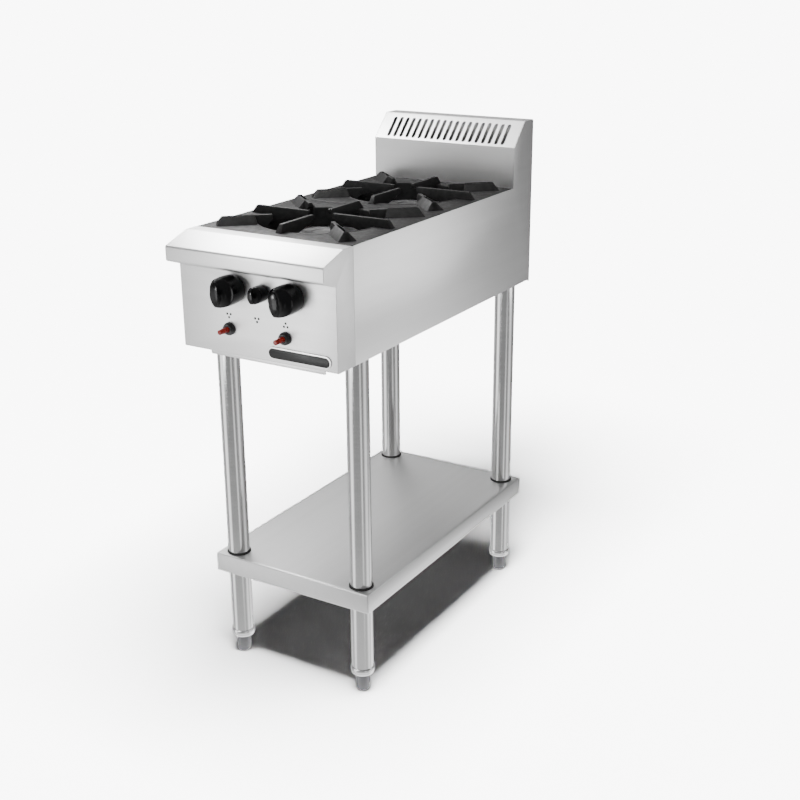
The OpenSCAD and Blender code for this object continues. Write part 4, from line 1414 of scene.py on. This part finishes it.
    def build_collars(self) -> None:
        """Turns the black collars that carry the shelf."""
        room = Box.of("shelf_collars")
        low, high = room.low.z, room.high.z
        wide = room.high.x - self.centre("front_right").x
        radius = wide - self.collar_rim
        top = Box.of("undershelf").high.z - self.sheet - 0.0003
        foot = top - 0.003
        line = [
            (self.bore, low, 0), (radius, low, 0.0006), (radius, foot, 0),
            (wide, foot, 0.0005), (wide, top, 0.0005), (radius, top, 0),
            (radius, high, 0.0008), (self.bore, high, 0.0004),
        ]
        collar = turned("collar", rounded(line, steps=3), steps=72, ring=True)
        smooth(collar, 35)
        whole = joined("shelf_collar_set", self.spread(collar))
        dress(whole, COLLAR_BLACK, "range", "collar_black", "shelf_collars")


@dataclass
class GasTrain:
    """Inlet pipe's cut thread."""

    pitch: float = 0.001814
    depth: float = 0.0009
    thread: float = 0.018
    run_out: float = 0.0002
    radius: float = 0.01048
    bore: float = 0.00805
    inset: float = 0.01065
    level: float = 0.650

    def build(self) -> None:
        """Builds the threaded end over the plain pipe."""
        room = Box.of("gas_inlet_pipe")
        start, root = -self.thread + self.run_out, self.radius - self.depth
        profile: list[Flat] = [(self.bore, start)]
        for i in range(int(self.thread / self.pitch)):
            base = start + i * self.pitch
            profile += [(root, base), (self.radius, base + self.pitch * 0.5)]
        profile += [(root, -0.0006), (root - 0.0005, 0), (self.bore, 0)]
        at = (room.high.x - self.inset, room.high.y, self.level)
        thread = turned("inlet_thread", profile, at, Axis.Y, steps=72, ring=True)
        smooth(thread, 20)
        dress(thread, PIPE_GREY, "range", "pipe")


@dataclass(frozen=True)
class Coating:
    """A finish for the CAD nodes that keep their own shape."""

    finish: Finish
    nodes: tuple[str, ...]

    def apply(self) -> None:
        """Puts the finish on each node's own slots."""
        for name in self.nodes:
            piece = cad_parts[name]
            if not piece.material_slots:
                piece.data.materials.append(self.finish.material)
            for slot in piece.material_slots:
                slot.material = self.finish.material
            log.info("%s keeps its CAD shape", name)


def sided(name: str, *sides: str) -> tuple[str, ...]:
    """The names of the CAD nodes that differ only in their side."""
    return tuple(f"{side}_{name}" for side in sides)


FRAMEWORK = (
    "base_frame", "leg_spigots", "leg_screws", "centre_cross_bar", "rear_cross_bar",
    *sided("grate_rail", "left", "right"), *sided("tray_runner", "left", "right"),
    *sided("burner_bracket", "front", "rear"), *sided("air_shutter", "front", "rear"),
)
GAS_FITTINGS = (
    *sided("gas_valve", "left", "right", "pilot"), *sided("valve_stem", "left", "right", "pilot"),
    "injectors",
)
COATINGS = (
    Coating(SHEET_X, ("rear_panel", "front_baffle")),
    Coating(ZINC, FRAMEWORK),
    Coating(BURNER_IRON, sided("burner", "front", "rear")),
    Coating(PIPE_GREY, ("gas_manifold", "gas_inlet_pipe")),
    Coating(BRASS, GAS_FITTINGS),
    Coating(COPPER, sided("pilot_tube", "front", "rear")),
    Coating(CERAMIC, sided("spark_electrode", "front", "rear")),
)


# Studio


@dataclass(frozen=True)
class Softbox:
    """A soft patch of light in the surroundings, seen by what shines."""

    azimuth: float
    elevation: float
    reach: float
    level: float

    @property
    def direction(self) -> Vector:
        """Where the patch is, azimuth 0 being +Y and growing towards +X."""
        a, e = math.radians(self.azimuth), math.radians(self.elevation)
        return Vector((math.sin(a) * math.cos(e), math.cos(a) * math.cos(e), math.sin(e)))


def aimed(light: Piece, ahead: Vector) -> None:
    """Turns a light towards a direction."""
    light.rotation_euler = ahead.to_track_quat("-Z", "Y").to_euler()


@dataclass(frozen=True)
class Lamp:
    """A soft square lamp, seen only by what shines or only by what is matt."""

    name: str
    at: Triple
    aim: Triple
    width: float
    level: float
    matt: bool = False

    def build(self) -> None:
        """Hangs the lamp and turns it to what it lights."""
        bpy.ops.object.light_add(type="AREA", location=self.at)
        lamp = bpy.context.object
        lamp.name = self.name
        lamp.data.shape = "SQUARE"
        lamp.data.size = self.width
        lamp.data.energy = self.level * math.pi * self.width**2
        aimed(lamp, Vector(self.aim) - Vector(self.at))
        lamp.visible_camera = False
        lamp.visible_diffuse = self.matt
        lamp.visible_glossy = not self.matt
        log.info("%s hung", self.name)


@dataclass
class Studio:
    """Pale floor, soft overhead light, surroundings and the camera."""

    backdrop: float = 9.0
    fill: float = 0.01
    base: float = 0.34
    floor_tone: float = 0.8
    floor_radius: float = 60.0
    floor_fade: Flat = (1.3, 2.6)
    front_fill: float = 1.2
    front_angle: float = 70.0
    front_ahead: Triple = (-0.40, 0.87, -0.28)
    overhead: Lamp = Lamp(
        "overhead_softbox", (0.203, -0.365, 1.843), (0.203, -0.365, 0.0), 0.748, 6.07, matt=True
    )
    boxes: tuple[Softbox, ...] = (
        Softbox(223, -15, 24, 2.3),
        Softbox(30, -44, 25, 2.4),
        Softbox(73, -22, 22, 1.1),
        Softbox(121, -22, 9, 1.3),
        Softbox(280, -22, 20, 0.7),
        Softbox(308, 48, 18, 7.0),
        Softbox(330, 20, 30, 0.15),
        Softbox(250, 62, 22, 4.6),
        Softbox(0, -90, 72, 2.2),
    )
    lamps: tuple[Lamp, ...] = (
        Lamp("side_softbox", (0.80, 0.28, 0.68), (0.15, -0.15, 0.74), 0.50, 3.0),
        Lamp("front_softbox", (-0.26, -1.15, 0.50), (0.12, -0.325, 0.68), 0.45, 6.0),
        Lamp("ledge_softbox", (-0.42, 0.06, 1.28), (0.0, -0.33, 0.78), 0.38, 28.0),
        Lamp("knob_softbox", (-0.23, -0.79, 0.77), (0.01, -0.36, 0.71), 0.05, 100.0),
    )
    lens: float = 56.43
    sensor: float = 36.0
    eye: Triple = (1.1624, -1.8175, 1.2138)
    azimuth: float = 31.18
    elevation: float = 19.88
    roll: float = -0.41

    def build(self) -> None:
        """Sets the floor, the lights, the surroundings and the camera."""
        floor = self.build_floor()
        for lamp in (self.overhead, *self.lamps):
            lamp.build()
        self.build_fill(floor)
        self.build_world()
        self.build_camera()

    def build_floor(self) -> Piece:
        """Lays the pale floor, unseen by the steel, round the foot of the overhead lamp."""
        x, y, height = self.overhead.at
        deselect_all()
        bpy.ops.mesh.primitive_circle_add(
            vertices=128, radius=self.floor_radius, fill_type="NGON", location=(x, y, 0)
        )
        floor = bpy.context.object
        floor.name = "pale_floor"
        recipe = Recipe("pale_floor")
        tree = recipe.tree
        tree.nodes.remove(recipe.shader)
        seen = node(tree, "LightPath", {}).outputs["Is Camera Ray"]
        away = node(tree, "VectorMath", {0: recipe.place}, operation="LENGTH").outputs["Value"]
        plain, even = (*grey(self.floor_tone), 1), self.even_paint(tree, away, height)
        paint = node(tree, "Mix", {"Factor": seen, 6: plain, 7: even}, data_type="RGBA")
        matt = node(tree, "BsdfDiffuse", {"Color": paint.outputs[2]})
        near, far = self.floor_fade
        stretch = {"Value": away, "From Min": near, "From Max": far}
        fade = node(tree, "MapRange", stretch, interpolation_type="SMOOTHSTEP")
        share = node(tree, "Math", {0: fade.outputs["Result"], 1: seen}, operation="MULTIPLY")
        glow = node(tree, "Emission", {"Strength": self.backdrop})
        shaders = {0: share.outputs["Value"], 1: matt.outputs["BSDF"], 2: glow.outputs["Emission"]}
        blend = node(tree, "MixShader", shaders)
        tree.links.new(blend.outputs["Shader"], recipe.output.inputs["Surface"])
        floor.data.materials.append(recipe.material)
        floor.visible_glossy = False
        return floor

    def even_paint(self, tree: bpy.types.NodeTree, away: Socket, height: float) -> Socket:
        """Wires a paint that grows paler away from the lamp, so that the floor looks even.

        Args:
            tree: The floor's nodes.
            away: Distance from the foot of the lamp.
            height: Height of the lamp.

        Returns:
            The paint's level, one divided by the lamp's own falling off.
        """
        lamp = self.overhead
        level = self.backdrop * math.pi * height**2 / (lamp.level * lamp.width**2)
        for operation, amount in (
            ("DIVIDE", height), ("POWER", 2.0), ("ADD", 1.0), ("POWER", 2.0), ("MULTIPLY", level),
        ):
            away = node(tree, "Math", {0: away, 1: amount}, operation=operation).outputs["Value"]
        return away

    def build_fill(self, floor: Piece) -> None:
        """Lights what is matt from the front, and leaves the floor out."""
        bpy.ops.object.light_add(type="SUN", location=(1, -2, 1))
        light = bpy.context.object
        light.name = "front_fill"
        light.data.energy = self.front_fill
        light.data.angle = math.radians(self.front_angle)
        aimed(light, Vector(self.front_ahead))
        light.visible_glossy = False
        spared = bpy.data.collections.new("floor_without_fill")
        spared.objects.link(floor)
        light.light_linking.receiver_collection = spared
        spared.collection_objects[0].light_linking.link_state = "EXCLUDE"

    def build_world(self) -> None:
        """Wires the surroundings: white to the eye, dim as fill, boxes of light in the steel."""
        world = bpy.data.worlds.new("studio")
        bpy.context.scene.world = world
        world.use_nodes = True
        tree = world.node_tree
        tree.nodes.clear()
        place = node(tree, "TexCoord", {}).outputs["Generated"]
        level: float | Socket = self.base
        for box in self.boxes:
            toward = {0: place, 1: box.direction}
            dot = node(tree, "VectorMath", toward, operation="DOT_PRODUCT").outputs["Value"]
            edge = math.cos(math.radians(box.reach))
            stretch = {"Value": dot, "From Min": edge, "From Max": 1.0, "To Max": box.level}
            patch = node(tree, "MapRange", stretch, interpolation_type="SMOOTHSTEP")
            total = {0: level, 1: patch.outputs["Result"]}
            level = node(tree, "Math", total, operation="ADD").outputs["Value"]
        path = node(tree, "LightPath", {})
        for ray, amount in (("Diffuse Depth", self.fill), ("Is Camera Ray", self.backdrop)):
            level = node(tree, "Mix", {0: path.outputs[ray], 2: level, 3: amount}).outputs[0]
        light = node(tree, "Background", {"Strength": level, "Color": (1, 1, 1, 1)})
        node(tree, "OutputWorld", {"Surface": light.outputs["Background"]})
        world.cycles_visibility.diffuse = False

    def build_camera(self) -> None:
        """Stands the camera where the photograph was taken."""
        a, e, roll = (math.radians(v) for v in (self.azimuth, self.elevation, self.roll))
        ahead = Vector((-math.sin(a) * math.cos(e), math.cos(a) * math.cos(e), -math.sin(e)))
        right = ahead.cross(Vector((0, 0, 1))).normalized()
        down = ahead.cross(right)
        across = right * math.cos(roll) - down * math.sin(roll)
        below = right * math.sin(roll) + down * math.cos(roll)
        turn = Matrix((across, -below, -ahead)).transposed().to_4x4()
        data = bpy.data.cameras.new("photo_camera")
        camera = bpy.data.objects.new("photo_camera", data)
        bpy.context.scene.collection.objects.link(camera)
        data.lens = self.lens
        data.sensor_width = self.sensor
        data.sensor_fit = "HORIZONTAL"
        data.clip_end = 500
        camera.matrix_world = Matrix.Translation(self.eye) @ turn
        bpy.context.scene.camera = camera


def main() -> None:
    """Coats the CAD nodes that keep their shape, then builds the sub-assemblies in order."""
    logging.basicConfig(level=logging.INFO, format="%(name)s %(message)s")
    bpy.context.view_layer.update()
    for coating in COATINGS:
        coating.apply()
    for kind in (
        FrontPanel, SidePanels, Flue, Grates, Burners, Knobs, Igniters, DripTray, Stand, GasTrain,
        Studio,
    ):
        log.info("building %s", kind.__name__)
        kind().build()


if __name__ == "__main__":
    main()
